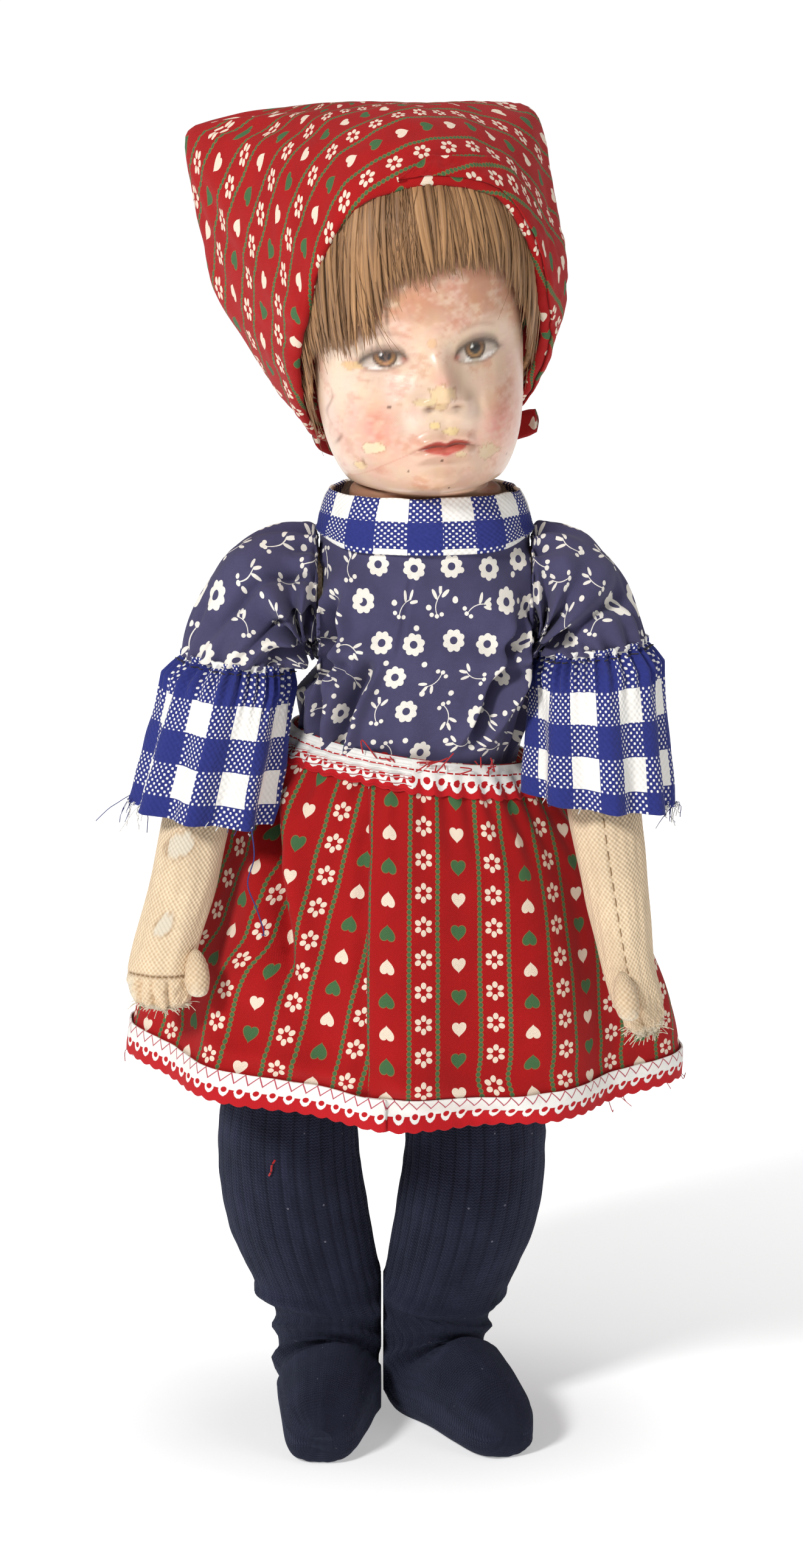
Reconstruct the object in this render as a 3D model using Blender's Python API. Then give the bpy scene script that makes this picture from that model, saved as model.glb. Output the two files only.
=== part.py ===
"""Cloth doll in country dress, about 53 cm tall, standing on its stockinged feet.

The doll faces -Y, +Z is up, and the origin lies on the floor under the middle of the skirt.
A stuffed body carries a swivelling head, two arms and two legs on disc joints: a disc in the
body, a disc in the limb and a steel pin through both. Head scarf, wig, collar, blouse, sleeves
with frills, skirt with trims and knitted stockings are pieces of their own.
"""
import math

import bmesh
import bpy
import numpy as np
from mathutils import Vector

# Fits and walls
CLEAR = 0.0004            # gap between pieces that touch
CLOTH = 0.0012            # wall of the woven garments
KNIT = 0.0014             # wall of the stockings
TRIM = 0.0010             # wall of the lace trims

# Heights, stacked from the floor
HIP_HEIGHT = 0.228        # floor to hip axis
WAIST_RISE = 0.056        # hip axis to waist seam
SHOULDER_RISE = 0.061     # waist seam to shoulder axis
NECK_RISE = 0.027         # shoulder axis to neck joint
CHIN_GAP = 0.0026         # collar to jaw
HEAD_HEIGHT = 0.1365      # jaw to crown

# Posture: sideways places of the body's middle, and the turn of head and feet
LEG_X = -0.0080
WAIST_X = 0.0036
NECK_X = 0.0093
HEAD_YAW = math.radians(9.5)
HEAD_ROLL = math.radians(3.5)
RIGHT_FOOT_TURN = math.radians(2)
LEFT_FOOT_TURN = math.radians(27)

# Stuffed body
CROTCH_WIDTH = 0.034      # body between the legs
HIP_DEPTH = 0.060
WAIST_WIDTH = 0.084
WAIST_DEPTH = 0.071
SHOULDER_WIDTH = 0.080    # between the flat sides that the arms turn on
CHEST_DEPTH = 0.065
NECK_WIDTH = 0.046
HIP_RELIEF = 0.034        # hip axis up to the underside of the belly
BODY_DROP = 0.025         # hip axis down to the crotch

# Head, wig and scarf
HEAD_WIDTH = 0.084
FACE_DEPTH = 0.054        # neck axis to the face
BACK_DEPTH = 0.058        # neck axis to the back of the head
NOSE = 0.011
WIG = 0.0040
FRINGE_RISE = 0.086       # jaw to the fringe over the face
NAPE_RISE = 0.016         # jaw to the wig at the back
SCARF_RIGHT_LOW = Vector((-0.0570, 0.0455, -0.0190))   # from the middle of the head
SCARF_RIGHT_SIDE = Vector((-0.0735, 0.0530, 0.0070))
SCARF_RIGHT_CORNER = Vector((-0.0830, 0.0560, 0.0740))
SCARF_RIDGE = Vector((-0.0340, 0.0440, 0.0800))
SCARF_LEFT_CORNER = Vector((0.0565, 0.0370, 0.0725))
SCARF_LEFT_SIDE = Vector((0.0640, 0.0040, 0.0090))
LINING = 0.0031           # room between head, wig and scarf
KNOT_WIDTH = 0.022
TAIL_WIDTH = 0.011
TAIL_THICK = 0.005

# Collar and blouse
COLLAR_HEIGHT = 0.0160
COLLAR_WIDTH = 0.086      # lower edge
COLLAR_TOP_WIDTH = 0.077
COLLAR_WALL = 0.0016
COLLAR_DEPTH = 0.76       # shares of the collar's width, lower and upper edge
COLLAR_TOP_DEPTH = 0.90
BLOUSE_TUCK = 0.011       # length inside the skirt
BLOUSE_EASE = 0.0045      # fullness of the blouse front over the body
STUD_RADIUS = 0.0036
STUD_THICK = 0.0018
LOOP_RADIUS = 0.0036
LOOP_WIRE = 0.0007

# Arms, sleeves and frills
ARM_ROOT = 0.0155         # radius of the arm at the shoulder
ARM_DROP = 0.157          # shoulder axis to the fingertips of the right arm
LEFT_ARM_DROP = 0.166
THUMB_LENGTH = 0.019
THUMB_RADIUS = 0.0043
THUMB_TURN = 34           # degrees from the hand's inner side to its front
SLEEVE_PUFF = 0.0245      # half width of the sleeve near the armhole
FRILL_LENGTH = 0.056
FRILL_FLARE = 0.0276      # half width of the frill at its edge
FRILL_GATHER = 0.0032     # swell below the sleeve's seam
FRILL_WAVE = 0.0016
FRILL_FOLDS = 11

# Skirt and trims
SKIRT_LENGTH = 0.131      # waist seam to hem
HEM_DIP = 0.0055          # hem lower in front
HEM_LIFT = 0.0085         # hem higher at the doll's right
SKIRT_BELLY = 0.0045      # fuller at the doll's left
HEM_WIDTH = 0.2240
HEM_DEPTH = 0.174
WAIST_EASE = 0.0014       # room between blouse and skirt at the waist
WAIST_TILT = 0.150        # the waist seam slopes down to the doll's left
SKIRT_FOLD = 0.0038
WAIST_TRIM = 0.0115       # trim heights
HEM_TRIM = 0.0140
TRIM_DROP = 0.0020        # trim below the hem

# Legs and stockings
HIP_SPREAD = 0.0360       # body's middle to leg's middle at the hip
THIGH_SPREAD = 0.0385
KNEE_SPREAD = 0.0345
THIGH_WIDTH = 0.053
THIGH_DEPTH = 0.059
KNEE_WIDTH = 0.0545
ANKLE_WIDTH = 0.0400
FOOT_LENGTH = 0.065       # ankle to toe
FOOT_WIDTH = 0.0340
FOOT_HEIGHT = 0.0345      # over the instep
THIGH_RELIEF = 0.042      # hip axis down to where the thighs fill the gap under the crotch
STOCKING_GAP = 0.004      # stocking top below the thigh's relief
SOLE_FLAT = 0.0009

# Disc joints
NECK_DISC = 0.0150
ARM_DISC = 0.0100
LEG_DISC = 0.0120
DISC_THICK = 0.0016
PIN_RADIUS = 0.0012
PIN_REACH = 0.0110        # pin length inside each piece

# Facets
ROUND = 20
SMALL_ROUND = 16
TORSO_RINGS = 13
HEAD_RINGS = 18
LEG_RINGS = 19

WAIST_Z = HIP_HEIGHT + WAIST_RISE
SHOULDER_Z = WAIST_Z + SHOULDER_RISE
NECK_Z = SHOULDER_Z + NECK_RISE
BLOUSE_TOP = SHOULDER_Z + 0.85 * NECK_RISE
COLLAR_Z = BLOUSE_TOP + 0.6 * (CLOTH + 2 * CLEAR) + CLEAR
JAW_Z = COLLAR_Z + COLLAR_HEIGHT + CHIN_GAP
CROWN_Z = JAW_Z + HEAD_HEIGHT
HEAD_MIDDLE = Vector((0, 0, 0.5 * (JAW_Z + CROWN_Z)))
RUN = 1.5 * CLEAR         # gap between the flats of a disc joint
ARMHOLE = SHOULDER_WIDTH / 2 + 2 * CLEAR + CLOTH
SCARF_BRIM = (SCARF_RIGHT_LOW, SCARF_RIGHT_SIDE, SCARF_RIGHT_CORNER, SCARF_RIDGE, SCARF_LEFT_CORNER)
SCARF_CORNERS = [*SCARF_BRIM, *(0.5 * (a + b) for a, b in zip(SCARF_BRIM, SCARF_BRIM[1:])), SCARF_LEFT_SIDE]
SIDES = {"right": -1, "left": 1}


def material(name, colour, roughness=0.9, metallic=0.0):
    """Plain material from an sRGB colour."""
    shade = bpy.data.materials.new(name)
    shade.use_nodes = True
    bsdf = shade.node_tree.nodes["Principled BSDF"]
    rgb = [int(colour[i:i + 2], 16) / 255 for i in (0, 2, 4)]
    linear = [c / 12.92 if c <= 0.04045 else ((c + 0.055) / 1.055) ** 2.4 for c in rgb]
    bsdf.inputs["Base Color"].default_value = (*linear, 1)
    bsdf.inputs["Roughness"].default_value = roughness
    bsdf.inputs["Metallic"].default_value = metallic
    return shade


def pivot(name, place):
    """Empty on a joint's axis."""
    empty = bpy.data.objects.new(name, None)
    empty.location = place
    empty.empty_display_size = 0.02
    bpy.context.scene.collection.objects.link(empty)
    return empty


def sample(stations, count):
    """Rows at even steps along the smooth curve through a list of stations."""
    rows = np.array(stations, float)
    t = np.linspace(0, len(rows) - 1, count)
    i = np.clip(t.astype(int), 0, len(rows) - 2)
    f = (t - i)[:, None]
    a = rows[np.clip(i - 1, 0, None)]
    b = rows[i]
    c = rows[i + 1]
    d = rows[np.clip(i + 2, None, len(rows) - 1)]
    return 0.5 * (2 * b + (c - a) * f + (2 * a - 5 * b + 4 * c - d) * f ** 2
                  + (3 * b - a - 3 * c + d) * f ** 3)


def angles(count):
    return np.arange(count) * 2 * math.pi / count


def level_ring(x, y, z, half_width, front, back, count=ROUND):
    """Level egg-shaped ring, starting at the front."""
    t = angles(count)
    depth = np.where(np.cos(t) > 0, front, back)
    return np.stack([x + half_width * np.sin(t), y - depth * np.cos(t), np.full(count, z)], 1)


def tilted_ring(centre, out, outer, inner, depth, tilt, count=ROUND):
    """Ring across an arm: tilt 0 faces sideways (out is -1 or 1), 90 degrees faces down."""
    t = angles(count)
    across = np.array([out * math.sin(tilt), 0, math.cos(tilt)])
    reach = np.where(np.cos(t) > 0, outer, inner) * np.cos(t)
    return centre + reach[:, None] * across + (depth * np.sin(t))[:, None] * np.array([0, -1, 0])


def loft(name, rings, shade, parent=None, wrap=False):
    """Closed body through rings of equal count, ended by fans or wrapped round on itself."""
    mesh = bpy.data.meshes.new(name)
    bm = bmesh.new()
    home = parent.location if parent else Vector()
    loops = [[bm.verts.new(Vector(p) - home) for p in ring] for ring in rings]
    count = len(loops[0])
    pairs = list(zip(loops, loops[1:]))
    if wrap:
        pairs.append((loops[-1], loops[0]))
    for low, high in pairs:
        for i in range(count):
            j = (i + 1) % count
            bm.faces.new((low[i], low[j], high[j], high[i]))
    if not wrap:
        for loop in (loops[0], loops[-1]):
            tip = bm.verts.new(sum((v.co for v in loop), Vector()) / count)
            for i in range(count):
                bm.faces.new((loop[i], loop[(i + 1) % count], tip))
    bmesh.ops.recalc_face_normals(bm, faces=bm.faces)
    bm.to_mesh(mesh)
    bm.free()
    mesh.shade_smooth()
    mesh.set_sharp_from_angle(angle=math.radians(50))
    mesh.materials.append(shade)
    body = bpy.data.objects.new(name, mesh)
    body.parent = parent
    bpy.context.scene.collection.objects.link(body)
    return body


def axis_ring(place, axis, along, radius, count=12):
    """Round ring about an axis ("X" or "Z") at a distance along it."""
    t = angles(count)
    flat = np.zeros(count) + along
    if axis == "X":
        ring = np.stack([flat, radius * np.cos(t), radius * np.sin(t)], 1)
    else:
        ring = np.stack([radius * np.cos(t), radius * np.sin(t), flat], 1)
    return ring + np.array(place)


def washer(name, place, axis, start, end, radius, hole, shade, parent):
    rings = [axis_ring(place, axis, s, r) for s, r in
             ((start, radius), (end, radius), (end, hole), (start, hole))]
    return loft(name, rings, shade, parent, wrap=True)


def cut(body, cutter):
    """Takes the cutter out of a body and keeps it as a hidden guide."""
    cutter.hide_render = True
    cutter.display_type = "WIRE"
    step = body.modifiers.new("cut_" + cutter.name, "BOOLEAN")
    step.operation = "DIFFERENCE"
    step.object = cutter


def socket(body, name, place, axis, inward, radius, shade):
    """Recess for a joint disc with a bore for its pin, cut into a flat face."""
    depth = DISC_THICK + CLEAR
    steps = ((-0.003, radius + CLEAR), (depth, radius + CLEAR), (depth, PIN_RADIUS + CLEAR),
             (PIN_REACH + CLEAR, PIN_RADIUS + CLEAR))
    cut(body, loft(name, [axis_ring(place, axis, inward * s, r) for s, r in steps], shade))


def disc_joint(name, place, axis, outward, radius, body, limb, limb_name, limb_pivot, shades):
    """Discs and pin of one joint; place lies on the body's flat face, on the joint's axis."""
    board, steel = shades
    far = np.array(place, float)
    far[0 if axis == "X" else 2] += outward * RUN
    socket(body, name + "_body_socket", place, axis, -outward, radius, board)
    socket(limb, name + "_limb_socket", far, axis, outward, radius, board)
    hole = PIN_RADIUS + CLEAR
    washer(name + "_disc_body", place, axis, -outward * DISC_THICK, 0, radius, hole, board, None)
    washer(limb_name, far, axis, 0, outward * DISC_THICK, radius, hole, board, limb_pivot)
    ends = (-outward * PIN_REACH, outward * (PIN_REACH + RUN))
    loft(name + "_pin", [axis_ring(place, axis, s, PIN_RADIUS) for s in ends], steel)


def middle_x(z):
    """Sideways place of the body's middle at a height, from the leaning posture."""
    return np.interp(z, (HIP_HEIGHT, WAIST_Z, SHOULDER_Z - 0.02), (LEG_X, WAIST_X, NECK_X))


def trunk(z, side, depth):
    """Level ring round the body."""
    return level_ring(float(middle_x(z)), 0, z, side, depth, depth)


def clamp_x(ring, middle, half):
    """Flattens a ring's sides at a distance from the middle."""
    flat = ring.copy()
    flat[:, 0] = np.clip(flat[:, 0], middle - half, middle + half)
    return flat


def torso_rows():
    """Height, half width and half depth of the stuffed body above the hips."""
    waist = WAIST_WIDTH / 2
    deep = WAIST_DEPTH / 2
    chest = CHEST_DEPTH / 2
    wide = SHOULDER_WIDTH / 2
    return [(HIP_HEIGHT + HIP_RELIEF, waist, 0.5 * (deep + HIP_DEPTH / 2)),
            (WAIST_Z, waist, deep),
            (WAIST_Z + 0.35 * SHOULDER_RISE, waist, 0.5 * (deep + chest)),
            (SHOULDER_Z - 0.35 * SHOULDER_RISE, wide + 0.0030, chest),
            (SHOULDER_Z, wide + 0.0050, chest - 0.002),
            (SHOULDER_Z + 0.55 * NECK_RISE, wide + 0.0020, 0.85 * chest),
            (SHOULDER_Z + 0.85 * NECK_RISE, 0.5 * wide + 0.25 * NECK_WIDTH, 0.75 * chest),
            (NECK_Z, NECK_WIDTH / 2, NECK_WIDTH / 2)]


def make_torso(shade):
    rows = sample(torso_rows(), TORSO_RINGS)
    rings = []
    for drop, share, deep in ((BODY_DROP, 0.55, 0.45), (0.75 * BODY_DROP, 1, 0.80), (0, 1, 1),
                              (-HIP_RELIEF + 0.001, 1, 1)):
        ring = level_ring(LEG_X, 0, HIP_HEIGHT - drop, share * CROTCH_WIDTH,
                          deep * HIP_DEPTH / 2, deep * HIP_DEPTH / 2)
        rings.append(clamp_x(ring, LEG_X, CROTCH_WIDTH / 2))
    for z, half, depth in rows:
        ring = trunk(z, half, depth)
        if z > WAIST_Z + 0.4 * SHOULDER_RISE:
            ring = clamp_x(ring, NECK_X, SHOULDER_WIDTH / 2)
        rings.append(ring)
    return loft("torso", rings, shade)


def torso_section(z):
    """Half width and half depth of the body's facets at a height."""
    rows = sample(torso_rows(), TORSO_RINGS)
    return (float(np.interp(z, rows[:, 0], rows[:, k])) for k in (1, 2))


def blouse_ease(z):
    """Fullness of the blouse at a height: none at the waist and the collar."""
    rise = (z - WAIST_Z) / (SHOULDER_Z - WAIST_Z)
    return BLOUSE_EASE * math.sin(math.pi * min(max(0.8 * rise, 0), 1))


def blouse_ring(z, wall):
    half, depth = torso_section(z)
    ease = blouse_ease(z)
    grow = 2 * CLEAR + wall
    if z > BLOUSE_TOP - CLEAR:
        half, depth = (COLLAR_WIDTH / 2 - CLOTH - grow, COLLAR_DEPTH * COLLAR_WIDTH / 2 - CLOTH - grow)
    ring = trunk(z, half + grow + ease, depth + grow + ease)
    if z > WAIST_Z + 0.4 * SHOULDER_RISE:
        ring = clamp_x(ring, NECK_X, ARMHOLE - CLOTH + wall)
    if z > SHOULDER_Z:
        ring[:, 2] += 0.6 * grow
    return ring


def make_blouse(shade):
    """Shell round the body from the tuck in the skirt to the collar, with two armholes."""
    levels = sample(torso_rows(), TORSO_RINGS)[:, 0]
    low = WAIST_Z - BLOUSE_TUCK
    heights = [low] + [z for z in levels if low + 0.001 < z < BLOUSE_TOP - 0.001] + [BLOUSE_TOP]
    outer = [blouse_ring(float(z), CLOTH) for z in heights]
    inner = [blouse_ring(float(z), 0) for z in heights]
    blouse = loft("blouse", outer + inner[::-1], shade, wrap=True)
    reach = SHOULDER_WIDTH / 2 + 0.02
    rings = [axis_ring((NECK_X, 0, SHOULDER_Z), "X", s, ARM_ROOT + 2 * CLEAR, ROUND)
             for s in (-reach, reach)]
    cut(blouse, loft("armhole_guide", rings, shade))
    return blouse


def collar_size(step):
    """Half width and half depth of the collar's outer face at a share of its height."""
    half = np.interp(step, (0, 0.5, 1), (COLLAR_WIDTH, 0.5 * (COLLAR_WIDTH + COLLAR_TOP_WIDTH), COLLAR_TOP_WIDTH)) / 2
    return float(half), float(half * np.interp(step, (0, 1), (COLLAR_DEPTH, COLLAR_TOP_DEPTH)))


def make_collar(shade):
    rings = []
    for wall in (0, COLLAR_WALL):
        layer = []
        for step in (0, 0.5, 1):
            half, depth = collar_size(step)
            layer.append(level_ring(NECK_X, 0, COLLAR_Z + step * COLLAR_HEIGHT, half - wall, depth - wall,
                                    depth - wall))
        rings += layer if wall == 0 else layer[::-1]
    return loft("collar", rings, shade, wrap=True)


def make_collar_loop(shade):
    """Wire loop of the collar's fastening, standing on its outer side towards the back."""
    turn = math.radians(126)
    half, depth = collar_size(0.30)
    out = Vector((math.sin(turn) / half, -math.cos(turn) / depth, 0)).normalized()
    side = out.cross(Vector((0, 0, 1)))
    foot = Vector((NECK_X + half * math.sin(turn), -depth * math.cos(turn), COLLAR_Z + 0.30 * COLLAR_HEIGHT))
    foot += CLEAR * out
    rings = []
    for step in np.linspace(0, math.pi, 9):
        centre = foot + LOOP_RADIUS * (math.cos(step) * side + math.sin(step) * out)
        radial = (centre - foot).normalized()
        rings.append([centre + LOOP_WIRE * (math.cos(a) * radial + math.sin(a) * Vector((0, 0, 1)))
                      for a in angles(8)])
    return loft("collar_loop", rings, shade)


def make_stud(shade):
    """Press stud on the blouse front beside the right armhole."""
    z = SHOULDER_Z - 0.35 * SHOULDER_RISE
    half, depth = torso_section(z)
    ease = blouse_ease(z)
    turn = math.radians(-56)
    grow = CLOTH + 3.6 * CLEAR
    spot = Vector((float(middle_x(z)) + (half + grow + ease) * math.sin(turn),
                   -(depth + grow + ease) * math.cos(turn), z))
    out = Vector((math.sin(turn) / half, -math.cos(turn) / depth, 0)).normalized()
    side = out.cross(Vector((0, 0, 1)))
    rings = [[spot + step * STUD_THICK * out + size * STUD_RADIUS
              * (math.cos(a) * side + math.sin(a) * Vector((0, 0, 1))) for a in angles(12)]
             for step, size in ((0, 1), (0.45, 1), (0.6, 0.55), (1, 0.5))]
    return loft("press_stud", rings, shade)


def head_rows():
    """Height, half width, face depth and back depth of the head from the neck to the crown."""
    neck = NECK_WIDTH / 2 - 0.0005
    wide = HEAD_WIDTH / 2
    tall = HEAD_HEIGHT
    shape = ((0.000, 0.58, 0.68, 0.52), (0.030, 0.74, 0.87, 0.63), (0.110, 0.87, 0.965, 0.79),
             (0.220, 0.945, 1.00, 0.91), (0.380, 0.985, 0.965, 0.985), (0.530, 1.00, 0.985, 1.00),
             (0.700, 0.985, 0.94, 0.985), (0.830, 0.86, 0.80, 0.86), (0.920, 0.64, 0.58, 0.64),
             (0.975, 0.36, 0.33, 0.36), (0.998, 0.10, 0.10, 0.10))
    rows = [(NECK_Z + RUN, neck, neck, neck), (JAW_Z - 0.003, neck, neck + 0.001, neck)]
    return rows + [(JAW_Z + h * tall, w * wide, f * FACE_DEPTH, b * BACK_DEPTH)
                   for h, w, f, b in shape]


def face_relief(x, z):
    """Forward swell of nose, cheeks, lips, chin and brow, and the hollows of the eyes."""
    u = x / (HEAD_WIDTH / 2)
    h = (z - JAW_Z) / HEAD_HEIGHT

    def bump(u0, h0, wide, tall):
        return np.exp(-((u - u0) / wide) ** 2 - ((h - h0) / tall) ** 2)

    swell = NOSE * bump(0, 0.285, 0.15, 0.055) + 0.35 * NOSE * bump(0, 0.36, 0.11, 0.08)
    swell += 0.003 * (bump(-0.55, 0.22, 0.3, 0.10) + bump(0.55, 0.22, 0.3, 0.10))
    swell += 0.0028 * bump(0, 0.145, 0.2, 0.045) + 0.0035 * bump(0, 0.035, 0.3, 0.06)
    return swell - 0.0030 * (bump(-0.42, 0.415, 0.24, 0.05) + bump(0.42, 0.415, 0.24, 0.05))


def head_pose(points):
    """Turns points of the head to the doll's left, and tips them above the jaw."""
    p = np.array(points, float)
    lift = np.clip((p[:, 2] - NECK_Z) / (JAW_Z - NECK_Z), 0, 1)
    roll = HEAD_ROLL * lift * lift * (3 - 2 * lift)
    rise = p[:, 2] - JAW_Z
    x = p[:, 0] * np.cos(roll) - rise * np.sin(roll)
    z = np.where(lift < 1, p[:, 2], JAW_Z + p[:, 0] * np.sin(roll) + rise * np.cos(roll))
    return np.stack([NECK_X + x * math.cos(HEAD_YAW) - p[:, 1] * math.sin(HEAD_YAW),
                     x * math.sin(HEAD_YAW) + p[:, 1] * math.cos(HEAD_YAW), z], 1)


def make_head(shade, parent):
    rings = []
    for z, wide, front, back in sample(head_rows(), HEAD_RINGS):
        ring = level_ring(0, 0, z, wide, front, back, ROUND)
        ring[:, 1] -= np.where(ring[:, 1] < 0, face_relief(ring[:, 0], z), 0)
        rings.append(head_pose(ring))
    return loft("head", rings, shade, parent)


def skull(direction):
    """Distance from the middle of the head to its plain surface along unit directions."""
    rows = sample(head_rows()[2:], 80)
    low = np.zeros(len(direction))
    high = np.full(len(direction), HEAD_HEIGHT)
    for _ in range(40):
        reach = 0.5 * (low + high)
        p = direction * reach[:, None] + np.array(HEAD_MIDDLE)
        wide, front, back = (np.interp(p[:, 2], rows[:, 0], rows[:, k], 1e-6, 1e-6) for k in (1, 2, 3))
        depth = np.where(p[:, 1] < 0, front, back)
        inside = (p[:, 0] / wide) ** 2 + (p[:, 1] / depth) ** 2 < 1
        low = np.where(inside, reach, low)
        high = np.where(inside, high, reach)
    return low


def cap_directions(edge_points, steps, pole):
    """Unit directions in rings from a pole of the head down to an edge all round it."""
    edge = np.array(edge_points) - np.array(HEAD_MIDDLE)
    edge /= np.linalg.norm(edge, axis=1)[:, None]
    axis = np.array(Vector(pole).normalized())
    span = np.arccos(np.clip(edge @ axis, -1, 1))
    side = edge - (edge @ axis)[:, None] * axis
    side /= np.linalg.norm(side, axis=1)[:, None]
    return [np.cos(s * span)[:, None] * axis + np.sin(s * span)[:, None] * side for s in steps]


def shell_over_head(name, edge, steps, pole, inner, outer, shade, parent, corners=()):
    """Cap over the head between two distances from its middle, open at its edge."""
    rings = np.array(cap_directions(edge, steps, pole))
    for corner in corners:
        way = np.array(corner.normalized())
        rings[np.unravel_index(np.argmax(rings[:-1] @ way), rings[:-1].shape[:2])] = way
    middle = np.array(HEAD_MIDDLE)
    outside = [head_pose(middle + d * outer(d)[:, None]) for d in rings]
    inside = [head_pose(middle + d * inner(d)[:, None]) for d in rings]
    return loft(name, outside + inside[::-1], shade, parent)


def wig_edge(count):
    """Lower edge of the wig: fringe in front, longer at the temples, down to the nape."""
    t = angles(count)
    front = np.cos(t)
    rise = np.interp(front, (-1, -0.2, 0.45, 0.62, 1),
                     (NAPE_RISE, 0.3 * FRINGE_RISE, 0.48 * FRINGE_RISE, FRINGE_RISE, FRINGE_RISE))
    return np.stack([HEAD_WIDTH / 2 * np.sin(t), -FACE_DEPTH * np.cos(t), JAW_Z + rise], 1)


def wig_outer(d):
    return skull(d) + LINING + WIG


def make_wig(shade, parent):
    steps = (0.06, 0.20, 0.34, 0.47, 0.60, 0.73, 0.87, 1.0)
    return shell_over_head("wig", wig_edge(32), steps, (0, 0, 1), lambda d: skull(d) + LINING,
                           wig_outer, shade, parent)


def scarf_edge(count):
    """Edge of the scarf: over the fringe, down past both cheeks and back to the nape."""
    t = angles(count)
    front = np.cos(t)
    rise = np.interp(front, (-1, -0.6, -0.1, 0.35, 0.75, 1),
                     (0.10, 0.13, 0.30, 0.52, 0.80, 0.90)) * HEAD_HEIGHT
    return np.stack([HEAD_WIDTH / 2 * np.sin(t), -FACE_DEPTH * np.cos(t), JAW_Z + rise], 1)


def scarf_outer(d):
    """Cloth drawn tight from the head to the points that its folds stand out to."""
    base = wig_outer(d) + LINING + CLOTH
    reach = base
    for corner in SCARF_CORNERS:
        far = corner.length
        turn = np.arccos(np.clip(d @ np.array(corner.normalized()), -1, 1))
        open_angle = np.arccos(np.clip(base / far, 0, 1))
        reach = np.maximum(reach, np.where(turn < open_angle, base / np.cos(open_angle - turn), base))
    return reach


def make_scarf(shade, parent):
    steps = (0.07, 0.22, 0.36, 0.50, 0.64, 0.77, 0.89, 1.0)
    return shell_over_head("head_scarf", scarf_edge(30), steps, (-0.15, 0.55, 0.8),
                           lambda d: wig_outer(d) + LINING, scarf_outer, shade, parent, SCARF_CORNERS)


def make_knot(shade, parent):
    """Knot of the scarf at the nape, with two short ends."""
    edge = HEAD_MIDDLE + Vector((0, BACK_DEPTH, JAW_Z + 0.10 * HEAD_HEIGHT - HEAD_MIDDLE.z))
    way = np.array([(edge - HEAD_MIDDLE).normalized()])
    nape = HEAD_MIDDLE + Vector(way[0]) * float(scarf_outer(way)[0])
    middle = nape + Vector((0, 0.27 * KNOT_WIDTH + 2 * CLEAR, -0.22 * KNOT_WIDTH))
    rings = []
    for step in (-0.97, -0.8, -0.4, 0, 0.4, 0.8, 0.97):
        size = 0.40 * KNOT_WIDTH * math.sqrt(1 - step * step) * (0.9 + 0.25 * step * step)
        ring = axis_ring(middle + Vector((step * KNOT_WIDTH / 2, 0, 0)), "X", 0, size, 10)
        rings.append(head_pose(ring))
    loft("scarf_knot", rings, shade, parent)
    for side, out in SIDES.items():
        longer = 1.0 if side == "left" else 0.72
        start = KNOT_WIDTH / 2 * 0.97 + CLEAR
        path = ((start, 0, 0), (start + 0.008, -0.001, -0.0005), (start + 0.022, -0.010, 0.0005),
                (start + 0.034, -0.024, 0.006))
        ends = []
        for step, (x, y, z) in zip((0.55, 0.8, 1.0, 0.75), sample(path, 4)):
            centre = np.array(middle) + np.array([out * x * (1 if x == start else longer), y * longer, z])
            turn = math.atan2(y, x) * 1.4 * out
            t = angles(8)
            width = step * TAIL_WIDTH / 2 * np.sin(t)
            thick = TAIL_THICK / 2 * np.cos(t)
            ends.append(head_pose(centre + np.stack([-math.sin(turn) * thick, math.cos(turn) * thick, width], 1)))
        loft("scarf_tail_" + side, ends, shade, parent)


def arm_rows(side):
    """Out, forward and down from the shoulder, half width, half depth and tilt of each arm."""
    root = ARM_ROOT
    if side == "right":
        shape = ((0, 0, 0, 1, 1, 0), (0.0090, 0, 0.004, 1.01, 1.01, 8), (0.0215, 0.006, 0.058, 1.00, 1.0, 38),
                 (0.0340, 0.012, 0.190, 0.95, 0.95, 72), (0.0415, 0.022, 0.350, 0.92, 0.90, 80),
                 (0.0492, 0.037, 0.540, 0.87, 0.84, 82), (0.0545, 0.048, 0.700, 0.86, 0.80, 84),
                 (0.0610, 0.057, 0.840, 0.84, 0.70, 87), (0.0628, 0.0605, 0.925, 0.86, 0.60, 89),
                 (0.0625, 0.0615, 0.980, 0.68, 0.46, 90), (0.0623, 0.062, 1.0, 0.30, 0.22, 90))
        drop = ARM_DROP
    else:
        shape = ((0, 0, 0, 1, 1, 0), (0.0085, 0, 0.004, 1.01, 1.01, 8), (0.0195, 0.005, 0.048, 1.00, 1.0, 42),
                 (0.0270, 0.011, 0.160, 0.95, 0.97, 76), (0.0285, 0.022, 0.315, 0.94, 0.94, 87),
                 (0.0304, 0.037, 0.500, 0.92, 0.90, 84), (0.0345, 0.050, 0.675, 0.81, 0.86, 81),
                 (0.0388, 0.060, 0.830, 0.66, 0.80, 78), (0.0422, 0.064, 0.910, 0.62, 0.76, 76),
                 (0.0455, 0.065, 0.970, 0.47, 0.62, 74), (0.0470, 0.0655, 1.0, 0.22, 0.28, 73))
        drop = LEFT_ARM_DROP
    return [(out, -ahead, -drop * down, root * wide, root * deep, math.radians(tilt))
            for out, ahead, down, wide, deep, tilt in shape]


def shoulder(side):
    """Middle of the arm's flat face at the shoulder."""
    return Vector((NECK_X + SIDES[side] * (SHOULDER_WIDTH / 2 + RUN), 0, SHOULDER_Z))


def make_arm(side, shade, parent):
    out = SIDES[side]
    root = np.array(shoulder(side))
    rings = [tilted_ring(root + np.array([out * x, y, z]), out, wide, wide, deep, tilt, SMALL_ROUND)
             for x, y, z, wide, deep, tilt in sample(arm_rows(side), 15)]
    return loft(side + "_arm", rings, shade, parent)


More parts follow.
